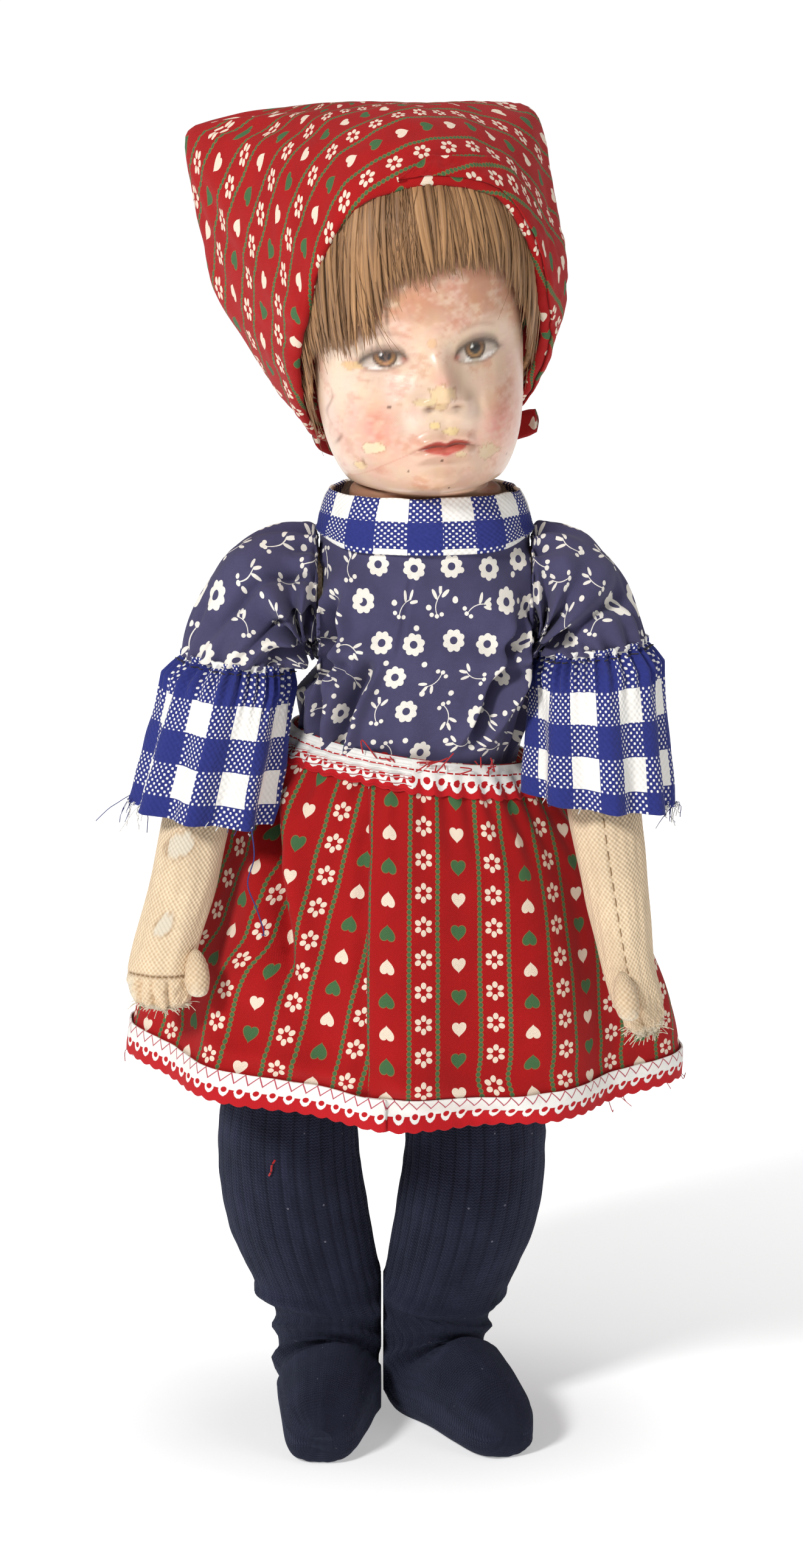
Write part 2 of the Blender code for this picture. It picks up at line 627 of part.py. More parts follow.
def make_thumb(side, shade, parent):
    """Thumb sewn to the inner side of the hand."""
    rows = arm_rows(side)
    x, y, z, wide, deep, tilt = rows[7]
    out = SIDES[side]
    if side == "right":
        turn = math.radians(THUMB_TURN)
        shift = np.array([-out * (wide + THUMB_RADIUS - CLEAR) * math.cos(turn),
                          -(deep + THUMB_RADIUS) * math.sin(turn), 0])
        lean = np.array([-0.05 * out, -0.06, -1.0])
    else:
        shift = np.array([-0.3 * out * wide, -(deep + THUMB_RADIUS + 2 * CLEAR), 0])
        lean = np.array([0.15 * out, -0.15, -1.0])
    base = np.array(shoulder(side)) + np.array([out * x, y, z]) + shift
    rings = []
    for step, size in ((0, 0.30), (0.06, 0.75), (0.25, 1.0), (0.6, 0.95), (0.88, 0.70), (1.0, 0.25)):
        t = angles(10)
        ring = np.stack([size * THUMB_RADIUS * np.cos(t), size * THUMB_RADIUS * np.sin(t), np.zeros(10)], 1)
        rings.append(base + step * THUMB_LENGTH * lean + ring)
    return loft(side + "_thumb", rings, shade, parent)


def sleeve_rows(side):
    """Out, forward, down, outer and inner half width, half depth and tilt from the armhole to the seam."""
    puff = SLEEVE_PUFF
    hug = ARM_ROOT + 2 * CLEAR + CLOTH
    spread, fall, full = (1.0, 1.0, 1.0) if side == "right" else (0.74, 0.80, 0.93)
    shape = ((0.0000, 0, 0.000, hug, hug, hug, 0), (0.0004, 0, 0.0005, 0.92 * puff, 0.84 * puff, 0.90 * puff, 0),
             (0.0050, 0.001, 0.0005, 1.05 * puff, 0.88 * puff, puff, 5),
             (0.0130, 0.004, 0.0045, full * 1.24 * puff, 0.84 * puff, 1.06 * puff, 28),
             (0.0220, 0.009, 0.0140, full * 1.14 * puff, 0.80 * puff, 1.02 * puff, 52),
             (0.0320, 0.013, 0.0265, 0.87 * puff, 0.87 * puff, 0.90 * puff, 84))
    return [(out * spread, -ahead, -down * fall, wide, slim, deep, math.radians(tilt))
            for out, ahead, down, wide, slim, deep, tilt in shape]


def armhole(side):
    return np.array([NECK_X + SIDES[side] * (ARMHOLE + CLEAR), 0, SHOULDER_Z])


def make_sleeve(side, shade, parent):
    out = SIDES[side]
    rows = sleeve_rows(side)
    rings = []
    for wall in (0, CLOTH):
        layer = [tilted_ring(armhole(side) + np.array([out * (x + (wall if k == 1 else 0)), y, z]), out,
                             wide - wall, slim - wall, deep - wall, tilt, 20)
                 for k, (x, y, z, wide, slim, deep, tilt) in enumerate(rows)]
        rings += layer if wall == 0 else layer[::-1]
    return loft(side + "_sleeve", rings, shade, parent, wrap=True)


def make_frill(side, shade, parent):
    """Gathered frill below the sleeve's seam, waving more towards its edge."""
    out = SIDES[side]
    x, y, z, wide, slim, deep, tilt = sleeve_rows(side)[-1]
    edge_out = 0.0450 if side == "right" else 0.0262
    edge_tilt = math.radians(82 if side == "right" else 96)
    count = 3 * FRILL_FOLDS
    t = angles(count)
    rings = []
    for wall in (0, CLOTH):
        layer = []
        for step in (0, 0.12, 0.5, 1.0):
            bulge = FRILL_GATHER * np.interp(step, (0, 0.12, 1), (0, 1, 0)) * (1 + 0.5 * np.cos(t))
            lean = tilt + (edge_tilt - tilt) * step
            size = wide + (FRILL_FLARE - wide) * step + bulge
            depth = deep + (0.97 * FRILL_FLARE - deep) * step + bulge
            centre = armhole(side) + np.array([out * (x + (edge_out - x) * step), y - 0.024 * step,
                                               z - 2 * CLEAR - FRILL_LENGTH * step])
            wave = FRILL_WAVE * (0.25 + 0.75 * step) * np.cos(FRILL_FOLDS * t + 0.6 * np.sin(t))
            across = np.array([out * math.sin(lean), 0, math.cos(lean)])
            ring = centre + ((size + wave - wall) * np.cos(t))[:, None] * across
            ring[:, 1] -= (depth + wave - wall) * np.sin(t)
            layer.append(beside_body(ring, 3 * CLEAR + wall))
        rings += layer if wall == 0 else layer[::-1]
    return loft(side + "_frill", rings, shade, parent, wrap=True)


def skirt_size(step):
    """Half width and half depth of the skirt at a share of its length, without its folds."""
    flare = 1 - (1 - np.clip(step, 0, 1)) ** 1.5
    ease = 2 * CLEAR + CLOTH + WAIST_EASE + CLOTH
    waist = WAIST_WIDTH / 2 + ease
    deep = WAIST_DEPTH / 2 + ease
    return (waist + (HEM_WIDTH / 2 - SKIRT_FOLD - waist) * flare,
            deep + (HEM_DEPTH / 2 - SKIRT_FOLD - deep) * flare)


def skirt_points(step, grow, count):
    """Ring of the skirt's outer face at a share of its length, with the folds it hangs in."""
    t = angles(count)
    down = min(step, 1)
    fold = SKIRT_FOLD * min(1, 1.3 * step) * (np.cos(9 * t + 0.5) + 0.45 * np.cos(5 * t - 1.1)) / 1.45
    wide, depth = (size + fold + grow for size in skirt_size(step))
    belly = SKIRT_BELLY * math.sin(math.pi * down) * np.maximum(np.sin(t), 0)
    x = WAIST_X * (1 - down) + 0.0006 + wide * np.sin(t) + belly
    tilt = WAIST_TILT * (1 - down) * (x - WAIST_X)
    hang = HEM_DIP * np.maximum(np.cos(t), 0) - HEM_LIFT * np.maximum(-np.sin(t), 0)
    z = WAIST_Z - SKIRT_LENGTH * step - tilt - hang * down
    return np.stack([x, -depth * np.cos(t), z], 1)


def beside_body(points, gap):
    """Moves points that would lie inside the skirt or blouse out to a gap from it."""
    step = (WAIST_Z - WAIST_TILT * (points[:, 0] - WAIST_X) - points[:, 2]) / SKIRT_LENGTH
    wide, deep = skirt_size(step)
    loose = gap + np.maximum(SKIRT_FOLD * 1.3 * step, 0) + SKIRT_BELLY * np.clip(step, 0, 1) + TRIM + 2 * CLEAR
    shares = np.hypot((points[:, 0] - WAIST_X) / (wide + loose), points[:, 1] / (deep + loose))
    near = np.where(points[:, 2] < WAIST_Z + 0.6 * SHOULDER_RISE, np.maximum(1, 1 / shares), 1)
    moved = points.copy()
    moved[:, 0] = WAIST_X + (points[:, 0] - WAIST_X) * near
    moved[:, 1] = points[:, 1] * near
    return moved


def skirt_shell(name, steps, base, wall, shade, count):
    rings = []
    for grow in (base, base - wall):
        layer = [skirt_points(s, grow, count) for s in steps]
        rings += layer if grow == base else layer[::-1]
    return loft(name, rings, shade, wrap=True)


def make_skirt(red, lace):
    count = 36
    over = 1.5 * CLEAR + TRIM
    top = WAIST_TRIM / SKIRT_LENGTH
    tall = HEM_TRIM / SKIRT_LENGTH
    low = TRIM_DROP / SKIRT_LENGTH
    steps = [0, top] + list(np.linspace(0.22, 1 - tall + low, 5)) + [1]
    skirt_shell("skirt", steps, 0, CLOTH, red, count)
    skirt_shell("waist_trim", (0, top), over, TRIM, lace, count)
    skirt_shell("hem_trim", (1 - tall + low, 1, 1 + low), over, TRIM, lace, count)


def leg_rows():
    """Sections down the leg and along the foot: sideways, forward, up, half width, half depth, pitch.

    Pitch 0 is a level section of the leg and 90 degrees an upright section of the foot.
    """
    thigh = THIGH_WIDTH / 2
    deep = THIGH_DEPTH / 2
    knee = KNEE_WIDTH / 2
    ankle = ANKLE_WIDTH / 2
    calf = 0.5 * (knee + ankle)
    foot = FOOT_WIDTH / 2
    arch = FOOT_HEIGHT / 2
    hip = HIP_HEIGHT
    toe = FOOT_LENGTH
    inner = max(ankle, foot) + KNIT + 2 * CLEAR
    sole = KNIT + CLEAR - SOLE_FLAT
    return [(HIP_SPREAD, 0, hip + 0.985 * deep, 0.20 * thigh, 0.17 * deep, 0),
            (HIP_SPREAD, 0, hip + 0.85 * deep, 0.50 * thigh, 0.52 * deep, 0),
            (HIP_SPREAD, 0, hip + 0.50 * deep, 0.80 * thigh, 0.86 * deep, 0),
            (HIP_SPREAD, 0, hip, thigh, deep, 0),
            (HIP_SPREAD, 0, 0.86 * hip, 1.01 * thigh, deep, 0),
            (HIP_SPREAD, 0, 0.70 * hip, 0.93 * thigh, deep, 0),
            (THIGH_SPREAD, -0.001, 0.52 * hip, 0.98 * knee, 0.96 * deep, 0),
            (KNEE_SPREAD, -0.002, 0.365 * hip, knee, 0.93 * deep, 0),
            (calf + KNIT + 2 * CLEAR, -0.002, 0.235 * hip, calf, 0.82 * deep, 0),
            (inner, 0, 0.190 * hip, ankle, 0.5 * (0.82 * deep + 1.3 * arch), 8),
            (inner, 0, sole + 0.92 * arch, 1.06 * foot, 1.34 * arch, 45),
            (inner, 0.34 * toe, sole + 0.95 * arch, foot, 0.98 * arch, 74),
            (inner, 0.62 * toe, sole + 0.86 * arch, 0.90 * foot, 0.86 * arch, 88),
            (inner, 0.84 * toe, sole + 0.72 * arch, 0.76 * foot, 0.72 * arch, 90),
            (inner, 0.96 * toe, sole + 0.60 * arch, 0.50 * foot, 0.50 * arch, 90),
            (inner, toe, sole + 0.55 * arch, 0.18 * foot, 0.18 * arch, 90)]


def leg_rings(side, grow, top, count=SMALL_ROUND):
    """Rings of the leg's surface, grown outward, from a height down to the toe."""
    out = SIDES[side]
    turn = LEFT_FOOT_TURN if side == "left" else RIGHT_FOOT_TURN
    rows = sample(leg_rows(), LEG_RINGS)
    first = int(np.argmax(rows[:, 2] < top))
    if first:
        share = (rows[first - 1, 2] - top) / (rows[first - 1, 2] - rows[first, 2])
        start = rows[first - 1] + share * (rows[first] - rows[first - 1])
        rows = np.vstack([start, rows[first:]])
    heel = leg_rows()[9]
    t = angles(count)
    rings = []
    for x, ahead, up, wide, deep, pitch in rows:
        angle = math.radians(pitch)
        boxy = 1 - 0.6 * math.sin(angle) ** 2 * (np.cos(t) < 0)
        front = (deep + grow) * np.sign(np.cos(t)) * np.abs(np.cos(t)) ** boxy
        stretch = 1 + grow / FOOT_LENGTH if ahead > 0 else 1
        local_x = out * (x - heel[0]) + (wide + grow) * np.sin(t)
        local_y = -ahead * stretch - front * math.cos(angle)
        yaw = out * turn * min(max((heel[2] - up) / (0.25 * heel[2]) + 0.5, 0), 1)
        ring = np.stack([local_x * math.cos(yaw) - local_y * math.sin(yaw) + LEG_X + out * heel[0],
                         local_x * math.sin(yaw) + local_y * math.cos(yaw),
                         np.maximum(up + front * math.sin(angle), 0)], 1)
        relieved = up > HIP_HEIGHT - THIGH_RELIEF
        edge = CROTCH_WIDTH / 2 + RUN if relieved else KNIT + 2 * CLEAR - grow
        ring[:, 0] = LEG_X + out * np.maximum(out * (ring[:, 0] - LEG_X), edge)
        rings.append(ring)
    return rings


def make_leg(side, shade, parent):
    return loft(side + "_leg", leg_rings(side, 0, HIP_HEIGHT + THIGH_DEPTH), shade, parent)


def make_stocking(side, shade, parent):
    """Knitted stocking over the leg and foot, with its sole pressed flat."""
    top = HIP_HEIGHT - THIGH_RELIEF - STOCKING_GAP
    outer = leg_rings(side, CLEAR + KNIT, top)
    inner = leg_rings(side, CLEAR, top)
    return loft(side + "_stocking", outer[::-1] + inner, shade, parent)


def main():
    for old in list(bpy.data.objects):
        bpy.data.objects.remove(old)
    muslin = material("muslin", "D9B994")
    paint = material("face_paint", "E3B79C", 0.45)
    hair = material("hair", "A97F4F", 0.6)
    red = material("red_print", "AE131C")
    navy = material("navy_print", "33355A")
    check = material("gingham", "5963A8")
    knit = material("navy_knit", "1B2138", 0.95)
    lace = material("lace_trim", "EFE6E4")
    board = material("board", "8A6F4E")
    steel = material("steel", "9A9A9C", 0.35, 1.0)
    shades = (board, steel)

    torso = make_torso(muslin)
    make_blouse(navy)
    make_collar(check)
    make_collar_loop(steel)
    make_stud(steel)
    make_skirt(red, lace)

    neck = pivot("neck_pivot", (NECK_X, 0, NECK_Z))
    head = make_head(paint, neck)
    make_wig(hair, neck)
    make_scarf(red, neck)
    make_knot(red, neck)
    disc_joint("neck", (NECK_X, 0, NECK_Z), "Z", 1, NECK_DISC, torso, head, "head_disc", neck, shades)

    for side, out in SIDES.items():
        turn = pivot(side + "_shoulder_pivot", shoulder(side))
        arm = make_arm(side, muslin, turn)
        make_thumb(side, muslin, turn)
        make_sleeve(side, navy, turn)
        make_frill(side, check, turn)
        flat = (NECK_X + out * SHOULDER_WIDTH / 2, 0, SHOULDER_Z)
        disc_joint(side + "_shoulder", flat, "X", out, ARM_DISC, torso, arm, side + "_arm_disc", turn, shades)

        flat = (LEG_X + out * CROTCH_WIDTH / 2, 0, HIP_HEIGHT)
        swing = pivot(side + "_hip_pivot", flat)
        leg = make_leg(side, muslin, swing)
        make_stocking(side, knit, swing)
        disc_joint(side + "_hip", flat, "X", out, LEG_DISC, torso, leg, side + "_leg_disc", swing, shades)


main()
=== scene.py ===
"""Cloth doll with a painted face, in a printed scarf, blouse and skirt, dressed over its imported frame."""

import math
from functools import partial

import bpy
import numpy as np
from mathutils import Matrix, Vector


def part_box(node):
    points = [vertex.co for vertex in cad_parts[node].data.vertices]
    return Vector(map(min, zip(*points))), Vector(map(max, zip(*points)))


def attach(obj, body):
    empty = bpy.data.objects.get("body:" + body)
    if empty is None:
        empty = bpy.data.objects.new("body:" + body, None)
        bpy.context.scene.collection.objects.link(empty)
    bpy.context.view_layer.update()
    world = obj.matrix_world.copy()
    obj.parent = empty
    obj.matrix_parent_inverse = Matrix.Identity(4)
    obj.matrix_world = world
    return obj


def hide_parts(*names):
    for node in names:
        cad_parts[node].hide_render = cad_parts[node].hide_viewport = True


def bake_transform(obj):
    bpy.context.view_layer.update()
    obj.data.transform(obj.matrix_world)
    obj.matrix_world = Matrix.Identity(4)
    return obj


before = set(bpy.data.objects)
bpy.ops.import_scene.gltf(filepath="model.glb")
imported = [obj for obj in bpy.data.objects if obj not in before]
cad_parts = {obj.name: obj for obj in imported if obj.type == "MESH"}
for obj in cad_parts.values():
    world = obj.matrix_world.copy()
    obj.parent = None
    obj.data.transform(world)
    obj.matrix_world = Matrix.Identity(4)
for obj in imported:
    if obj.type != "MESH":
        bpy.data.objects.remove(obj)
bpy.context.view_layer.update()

bl_info = {
    "name": "Cloth doll",
    "version": (1, 0, 0),
    "blender": (4, 5, 0),
    "location": "3D View > Sidebar > Doll",
    "description": "Dresses the jointed cloth doll: painted head, wig, scarf, blouse, skirt, arms and stockings",
    "category": "Object",
}

SIDES = {"right": -1, "left": 1}
CLEAR, CLOTH, KNIT, TRIM, RUN = 0.0004, 0.0012, 0.0014, 0.0010, 0.0006
HIP_Z, WAIST_Z, SHOULDER_Z, NECK_Z = 0.228, 0.284, 0.345, 0.372
BLOUSE_TOP, COLLAR_Z, JAW_Z, HEAD_TALL = 0.36795, 0.36955, 0.38815, 0.1365
LEG_X, WAIST_X, NECK_X = -0.0080, 0.0036, 0.0093
HEAD_YAW, HEAD_ROLL = math.radians(9.5), math.radians(3.5)
HEAD_MIDDLE = np.array([0, 0, 0.4564])
HEAD_WIDE, FACE_DEEP, BACK_DEEP = 0.084, 0.054, 0.058
LINING, WIG = 0.0031, 0.0040
ARM_ROOT, ARMHOLE, SHOULDER_WIDE, CROTCH_WIDE = 0.0155, 0.042, 0.080, 0.034
COLLAR_TALL, COLLAR_WIDE, COLLAR_TOP_WIDE = 0.0160, 0.086, 0.077
SKIRT_LONG, HEM_WIDE, HEM_DEEP, WAIST_TILT = 0.131, 0.2240, 0.174, 0.150
WAIST_TRIM, HEM_TRIM, TRIM_DROP = 0.0115, 0.0140, 0.0020
FRILL_LONG, FRILL_FLARE = 0.056, 0.0276
SKIRT_EASE, HIP_OUT, TOE = 0.0038, 0.0360, 0.065
# Repeats of the prints, the gingham and the edgings, in millimetres.
STRIPE, MOTIF, SPRIG_WIDE, SPRIG_TALL, CHECK, EYELET = 27.5, 12.0, 14.5, 14.0, 12.5, 6.6
SCARF_POINTS = np.array([(-0.0570, 0.0455, -0.0190), (-0.0735, 0.0530, 0.0070), (-0.0830, 0.0560, 0.0740),
                         (-0.0340, 0.0440, 0.0800), (0.0620, 0.0370, 0.0735), (0.0640, 0.0040, 0.0090)])


def linear(code):
    """sRGB hex to linear red, green and blue."""
    value = np.array([int(code[i:i + 2], 16) for i in (0, 2, 4)]) / 255
    return np.where(value <= 0.04045, value / 12.92, ((value + 0.055) / 1.055) ** 2.4)


def dye(label, code, note):
    """Colour property from an sRGB hex value."""
    return bpy.props.FloatVectorProperty(name=label, description=note, subtype="COLOR", size=3, min=0, max=1,
                                         default=linear(code).tolist())


def length(label, size, note):
    """Length property in metres."""
    return bpy.props.FloatProperty(name=label, description=note, default=size, min=0, unit="LENGTH",
                                   subtype="DISTANCE", precision=4)


class DollColours(bpy.types.PropertyGroup):
    """Dyes, paints and finishes of the doll."""
    red: dye("Red", "A30D0F", "Ground of the printed scarf and skirt")
    cream: dye("Cream", "E6D3BE", "Flowers and hearts of the red print")
    green: dye("Green", "41663F", "Dotted stripes and hearts of the red print")
    olive: dye("Olive", "7D6A3C", "Edge where the green print meets the red")
    navy: dye("Navy", "474463", "Ground of the blouse print")
    ivory: dye("Ivory", "EAE4DA", "Flowers and sprigs of the blouse print")
    blue: dye("Blue", "2A3176", "Blue yarn of the gingham")
    white: dye("White", "F1EEE8", "White yarn of the gingham and trims")
    trim_red: dye("Trim red", "B50F18", "Embroidered edge of the trims")
    pink: dye("Pink thread", "B64A5C", "Zigzag stitching of the hem")
    muslin: dye("Muslin", "EED8B8", "Unbleached cotton of body and limbs")
    knit: dye("Knit", "1B1C2B", "Wool of the stockings")
    hair_light: dye("Hair light", "BC8D5E", "Light strands of the wig")
    hair_dark: dye("Hair dark", "614024", "Dark strands of the wig")
    flesh: dye("Flesh", "DDC0A7", "Ground of the painted face")
    blush: dye("Blush", "D27E69", "Cheeks of the painted face")
    lips: dye("Lips", "C05246", "Mouth of the painted face")
    iris: dye("Iris", "6E4826", "Eyes of the painted face")


class DollSizes(bpy.types.PropertyGroup):
    """Sizes of the soft detail that a maker would change."""
    cloth: length("Cloth", 0.0008, "Thickness of the printed cottons")
    skirt_fold: length("Skirt folds", 0.0054, "Depth of the hanging folds of the skirt")
    deep_fold: length("Deep fold", 0.0100, "Depth of the pressed fold beside the right hand")
    rib: length("Rib", 0.0009, "Height of the ribs in the stockings")
    lock_width: length("Lock", 0.0013, "Half width of a lock of hair")
    locks: bpy.props.IntProperty(name="Locks", description="Locks in the wig", default=860, min=50, max=1200)
    wisps: bpy.props.IntProperty(name="Wisps", description="Single strands over them", default=520, min=0, max=900)


# ---------------------------------------------------------------- shapes

def spline(stations, count):
    """Smooth curve through stations at even steps: each span is the cubic of its four neighbours."""
    rows = np.array(stations, float)
    t = np.linspace(0, len(rows) - 1, count)
    i = np.clip(t.astype(int), 0, len(rows) - 2)
    f = (t - i)[:, None]
    a, b, c, d = rows[np.clip(i - 1, 0, None)], rows[i], rows[i + 1], rows[np.clip(i + 2, None, len(rows) - 1)]
    return 0.5 * (2 * b + (c - a) * f + (2 * a - 5 * b + 4 * c - d) * f ** 2 + (3 * b - a - 3 * c + d) * f ** 3)


def smooth(start, end, x):
    """Ease from 0 at start to 1 at end."""
    t = np.clip((x - start) / (end - start), 0, 1)
    return t * t * (3 - 2 * t)


def bump(x, y, x0, y0, wide, tall):
    """Bell of height 1 about a point."""
    return np.exp(-((x - x0) / wide) ** 2 - ((y - y0) / tall) ** 2)


def bell(x, wide):
    """Bell of height 1 about 0."""
    return np.exp(-(x / wide) ** 2)


def shares(count):
    """Column of even steps from 0 to 1."""
    return np.linspace(0, 1, count)[:, None]


def chart(across, down):
    """UV map in millimetres from widths along a row and lengths down a column."""
    return np.stack(np.broadcast_arrays(across, down), 2)


def ripple(seed, *coords):
    """Seeded unevenness of about -1 to 1: eighteen sine waves of random direction, length and phase."""
    rng = np.random.default_rng(seed)
    total = 0
    for _ in range(18):
        way = rng.normal(size=len(coords)) * rng.uniform(0.4, 1.6)
        total = total + np.sin(6.283 * sum(w * c for w, c in zip(way, coords)) + rng.uniform(0, 6.3))
    return total / 6.4


def turns(count):
    """Even angles once round, from 0."""
    return np.arange(count) * 2 * math.pi / count


def unit(vectors):
    """Vectors divided by their lengths."""
    return vectors / np.maximum(np.linalg.norm(vectors, axis=-1, keepdims=True), 1e-12)


def arc(points, axis):
    """Distance run along a grid's rows or columns, in millimetres."""
    step = np.linalg.norm(np.diff(points, axis=axis), axis=2)
    pad = [(0, 0), (0, 0)]
    pad[axis] = (1, 0)
    return 1000 * np.cumsum(np.pad(step, pad), axis)


def on_grid(grid, row, col):
    """Points at fractional places of a grid, between its four nearest points."""
    rows, cols = grid.shape[:2]
    r = np.clip(np.asarray(row, float), 0, 1) * (rows - 1)
    c = np.mod(np.asarray(col, float), 1) * cols
    i, j = np.clip(r.astype(int), 0, rows - 2), c.astype(int) % cols
    f, g = (r - i)[..., None], (c - c.astype(int))[..., None]
    k = (j + 1) % cols
    return (grid[i, j] * (1 - f) + grid[i + 1, j] * f) * (1 - g) + (grid[i, k] * (1 - f) + grid[i + 1, k] * f) * g


def piece(name, points, faces, shade, uv=None, paint=None):
    """Mesh object from points and faces, with a UV map in millimetres and a paint attribute where given."""
    mesh = bpy.data.meshes.new(name)
    mesh.from_pydata(points.reshape(-1, 3).tolist(), [], faces)
    if uv is not None:
        mesh.uv_layers.new(name="mm").data.foreach_set("uv", np.asarray(uv, np.float32).ravel())
    if paint is not None:
        layer = mesh.attributes.new("paint", "FLOAT_COLOR", "POINT")
        layer.data.foreach_set("color", np.asarray(paint, np.float32).ravel())
    mesh.shade_smooth()
    mesh.materials.append(shade)
    made = bpy.data.objects.new(name, mesh)
    bpy.context.scene.collection.objects.link(made)
    return made


def lay(name, grid, shade, uv=None, wrap=False, ends=False, keep=None, paint=None):
    """Skin over a grid of points, its faces turned away from the middle of each row.

    wrap joins the last column to the first, and ends closes the first and the last row, or one of them.
    """
    first, last = ends if isinstance(ends, tuple) else (ends, ends)
    rows, cols = grid.shape[:2]
    r, c = np.meshgrid(np.arange(rows - 1), np.arange(cols if wrap else cols - 1), indexing="ij")
    if keep is not None:
        r, c = r[keep], c[keep]
    r, c = r.ravel(), c.ravel()
    down, across = np.stack([r, r, r + 1, r + 1], 1), np.stack([c, c + 1, c + 1, c], 1)
    faces = down * cols + across % cols
    flat = grid.reshape(-1, 3)
    normal = np.cross(flat[faces[:, 1]] - flat[faces[:, 0]], flat[faces[:, 3]] - flat[faces[:, 0]])
    step = -1 if np.sum(normal * (flat[faces[:, 0]] - grid.mean(1)[r])) < 0 else 1
    corners = None if uv is None else uv[down, across][:, ::step].reshape(-1, 2)
    faces = faces[:, ::step].tolist()
    ring = np.arange(cols)
    for closed, row, way in ((first, 0, -step), (last, rows - 1, step)):
        if closed:
            faces.append((row * cols + ring)[::way].tolist())
            corners = None if uv is None else np.vstack([corners, uv[row, :cols][::way]])
    return piece(name, flat, faces, shade, corners, paint)


def strands(name, paths, wide, shade, sides=5, thin=1.0, out=None):
    """Threads or locks: an oval ring carried along each path (paths x points x 3), closed at both ends.

    wide is the half width at each point, thin the share of it in the direction of out.
    """
    count, points = paths.shape[:2]
    way = unit(np.gradient(paths, axis=1))
    aim = np.where(np.abs(way[..., 2:]) > 0.9, [1.0, 0, 0], [0, 0, 1.0]) if out is None else out
    side = unit(np.cross(way, aim))
    up = np.cross(way, side)
    a = turns(sides)[:, None]
    size = np.broadcast_to(wide, (count, points))[:, :, None, None]
    rings = paths[:, :, None] + size * (np.cos(a) * side[:, :, None] + thin * np.sin(a) * up[:, :, None])
    n, m, k = (v.ravel() for v in np.meshgrid(np.arange(count), np.arange(points - 1), np.arange(sides),
                                              indexing="ij"))
    row, col = np.stack([m, m, m + 1, m + 1], 1), np.stack([k, k + 1, k + 1, k], 1)
    faces = (n[:, None] * points + row) * sides + col % sides
    first = (np.arange(count) * points * sides)[:, None] + np.arange(sides)
    last = first + (points - 1) * sides
    along = 1000 * np.cumsum(np.pad(np.linalg.norm(np.diff(paths, axis=1), axis=2), ((0, 0), (1, 0))), 1)
    place = np.stack([col + 7.0 * n[:, None], along[n[:, None], row]], 2).reshape(-1, 2)
    caps = np.zeros((2 * count * sides, 2))
    return piece(name, rings, faces.tolist() + first[:, ::-1].tolist() + last.tolist(), shade,
                 np.vstack([place, caps]))


def thicken(obj, wall):
    """Gives a sheet its thickness on the inner side."""
    wall_of = obj.modifiers.new("wall", "SOLIDIFY")
    wall_of.thickness = wall
    wall_of.offset = -1
    return obj


def settle(obj, body, slot, *nodes):
    """Seats a piece on a body and hides the solids that it stands for; the slot it is given is not used."""
    if nodes:
        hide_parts(*nodes)
    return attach(obj, body)


# ---------------------------------------------------------------- body

def middle_x(z):
    """Sideways place of the body's middle: straight from hip to waist and from waist to neck."""
    return np.interp(z, (HIP_Z, WAIST_Z, SHOULDER_Z - 0.02), (LEG_X, WAIST_X, NECK_X))


def torso_rows():
    """Height, half width and half depth of the stuffed body above the hips."""
    return [(0.262, 0.0420, 0.03275), (WAIST_Z, 0.0420, 0.0355), (0.30535, 0.0420, 0.0340),
            (0.32365, 0.0430, 0.0325), (SHOULDER_Z, 0.0450, 0.0305), (0.35985, 0.0420, 0.0276),
            (0.36795, 0.0315, 0.0244), (NECK_Z, 0.0230, 0.0230)]


def torso_grid():
    """Level ovals from the crotch to the neck, flat where the limbs turn against them."""
    t = turns(72)
    low = [(HIP_Z - 0.025, 0.0094, 0.0135), (HIP_Z - 0.019, 0.017, 0.024), (HIP_Z, 0.017, 0.030),
           (HIP_Z + 0.033, 0.017, 0.030)]
    rows = np.vstack([low, spline(torso_rows(), 50)])
    z, half, deep = rows.T[:, :, None]
    x = np.where(np.arange(len(rows))[:, None] < 4, LEG_X, middle_x(z)) + half * np.sin(t)
    flat = np.where(z > 0.3084, SHOULDER_WIDE / 2, 1.0)
    x = NECK_X + np.clip(x - NECK_X, -flat, flat)
    return np.stack([x, -deep * np.cos(t), np.broadcast_to(z, x.shape)], 2)


def head_rows():
    """Height, half width, face depth and back depth of the head from the neck to the crown."""
    neck = 0.0300
    shape = ((0.000, 0.58, 0.68, 0.52), (0.030, 0.74, 0.87, 0.63), (0.110, 0.87, 0.965, 0.79),
             (0.220, 0.945, 1.00, 0.91), (0.380, 0.985, 0.965, 0.985), (0.530, 1.00, 0.985, 1.00),
             (0.700, 0.985, 0.94, 0.985), (0.830, 0.86, 0.80, 0.86), (0.920, 0.64, 0.58, 0.64),
             (0.975, 0.36, 0.33, 0.36), (0.998, 0.10, 0.10, 0.10))
    rows = [(NECK_Z + RUN, neck, neck, neck), (JAW_Z - 0.003, neck, neck + 0.001, neck)]
    return rows + [(JAW_Z + h * HEAD_TALL, w * HEAD_WIDE / 2, f * FACE_DEEP, b * BACK_DEEP)
                   for h, w, f, b in shape]


def head_pose(points):
    """Turns points of the head to the doll's left, and tips them above the jaw."""
    p = np.asarray(points, float)
    lift = np.clip((p[..., 2] - NECK_Z) / (JAW_Z - NECK_Z), 0, 1)
    roll = HEAD_ROLL * lift * lift * (3 - 2 * lift)
    rise = p[..., 2] - JAW_Z
    x = p[..., 0] * np.cos(roll) - rise * np.sin(roll)
    z = np.where(lift < 1, p[..., 2], JAW_Z + p[..., 0] * np.sin(roll) + rise * np.cos(roll))
    return np.stack([NECK_X + x * math.cos(HEAD_YAW) - p[..., 1] * math.sin(HEAD_YAW),
                     x * math.sin(HEAD_YAW) + p[..., 1] * math.cos(HEAD_YAW), z], -1)


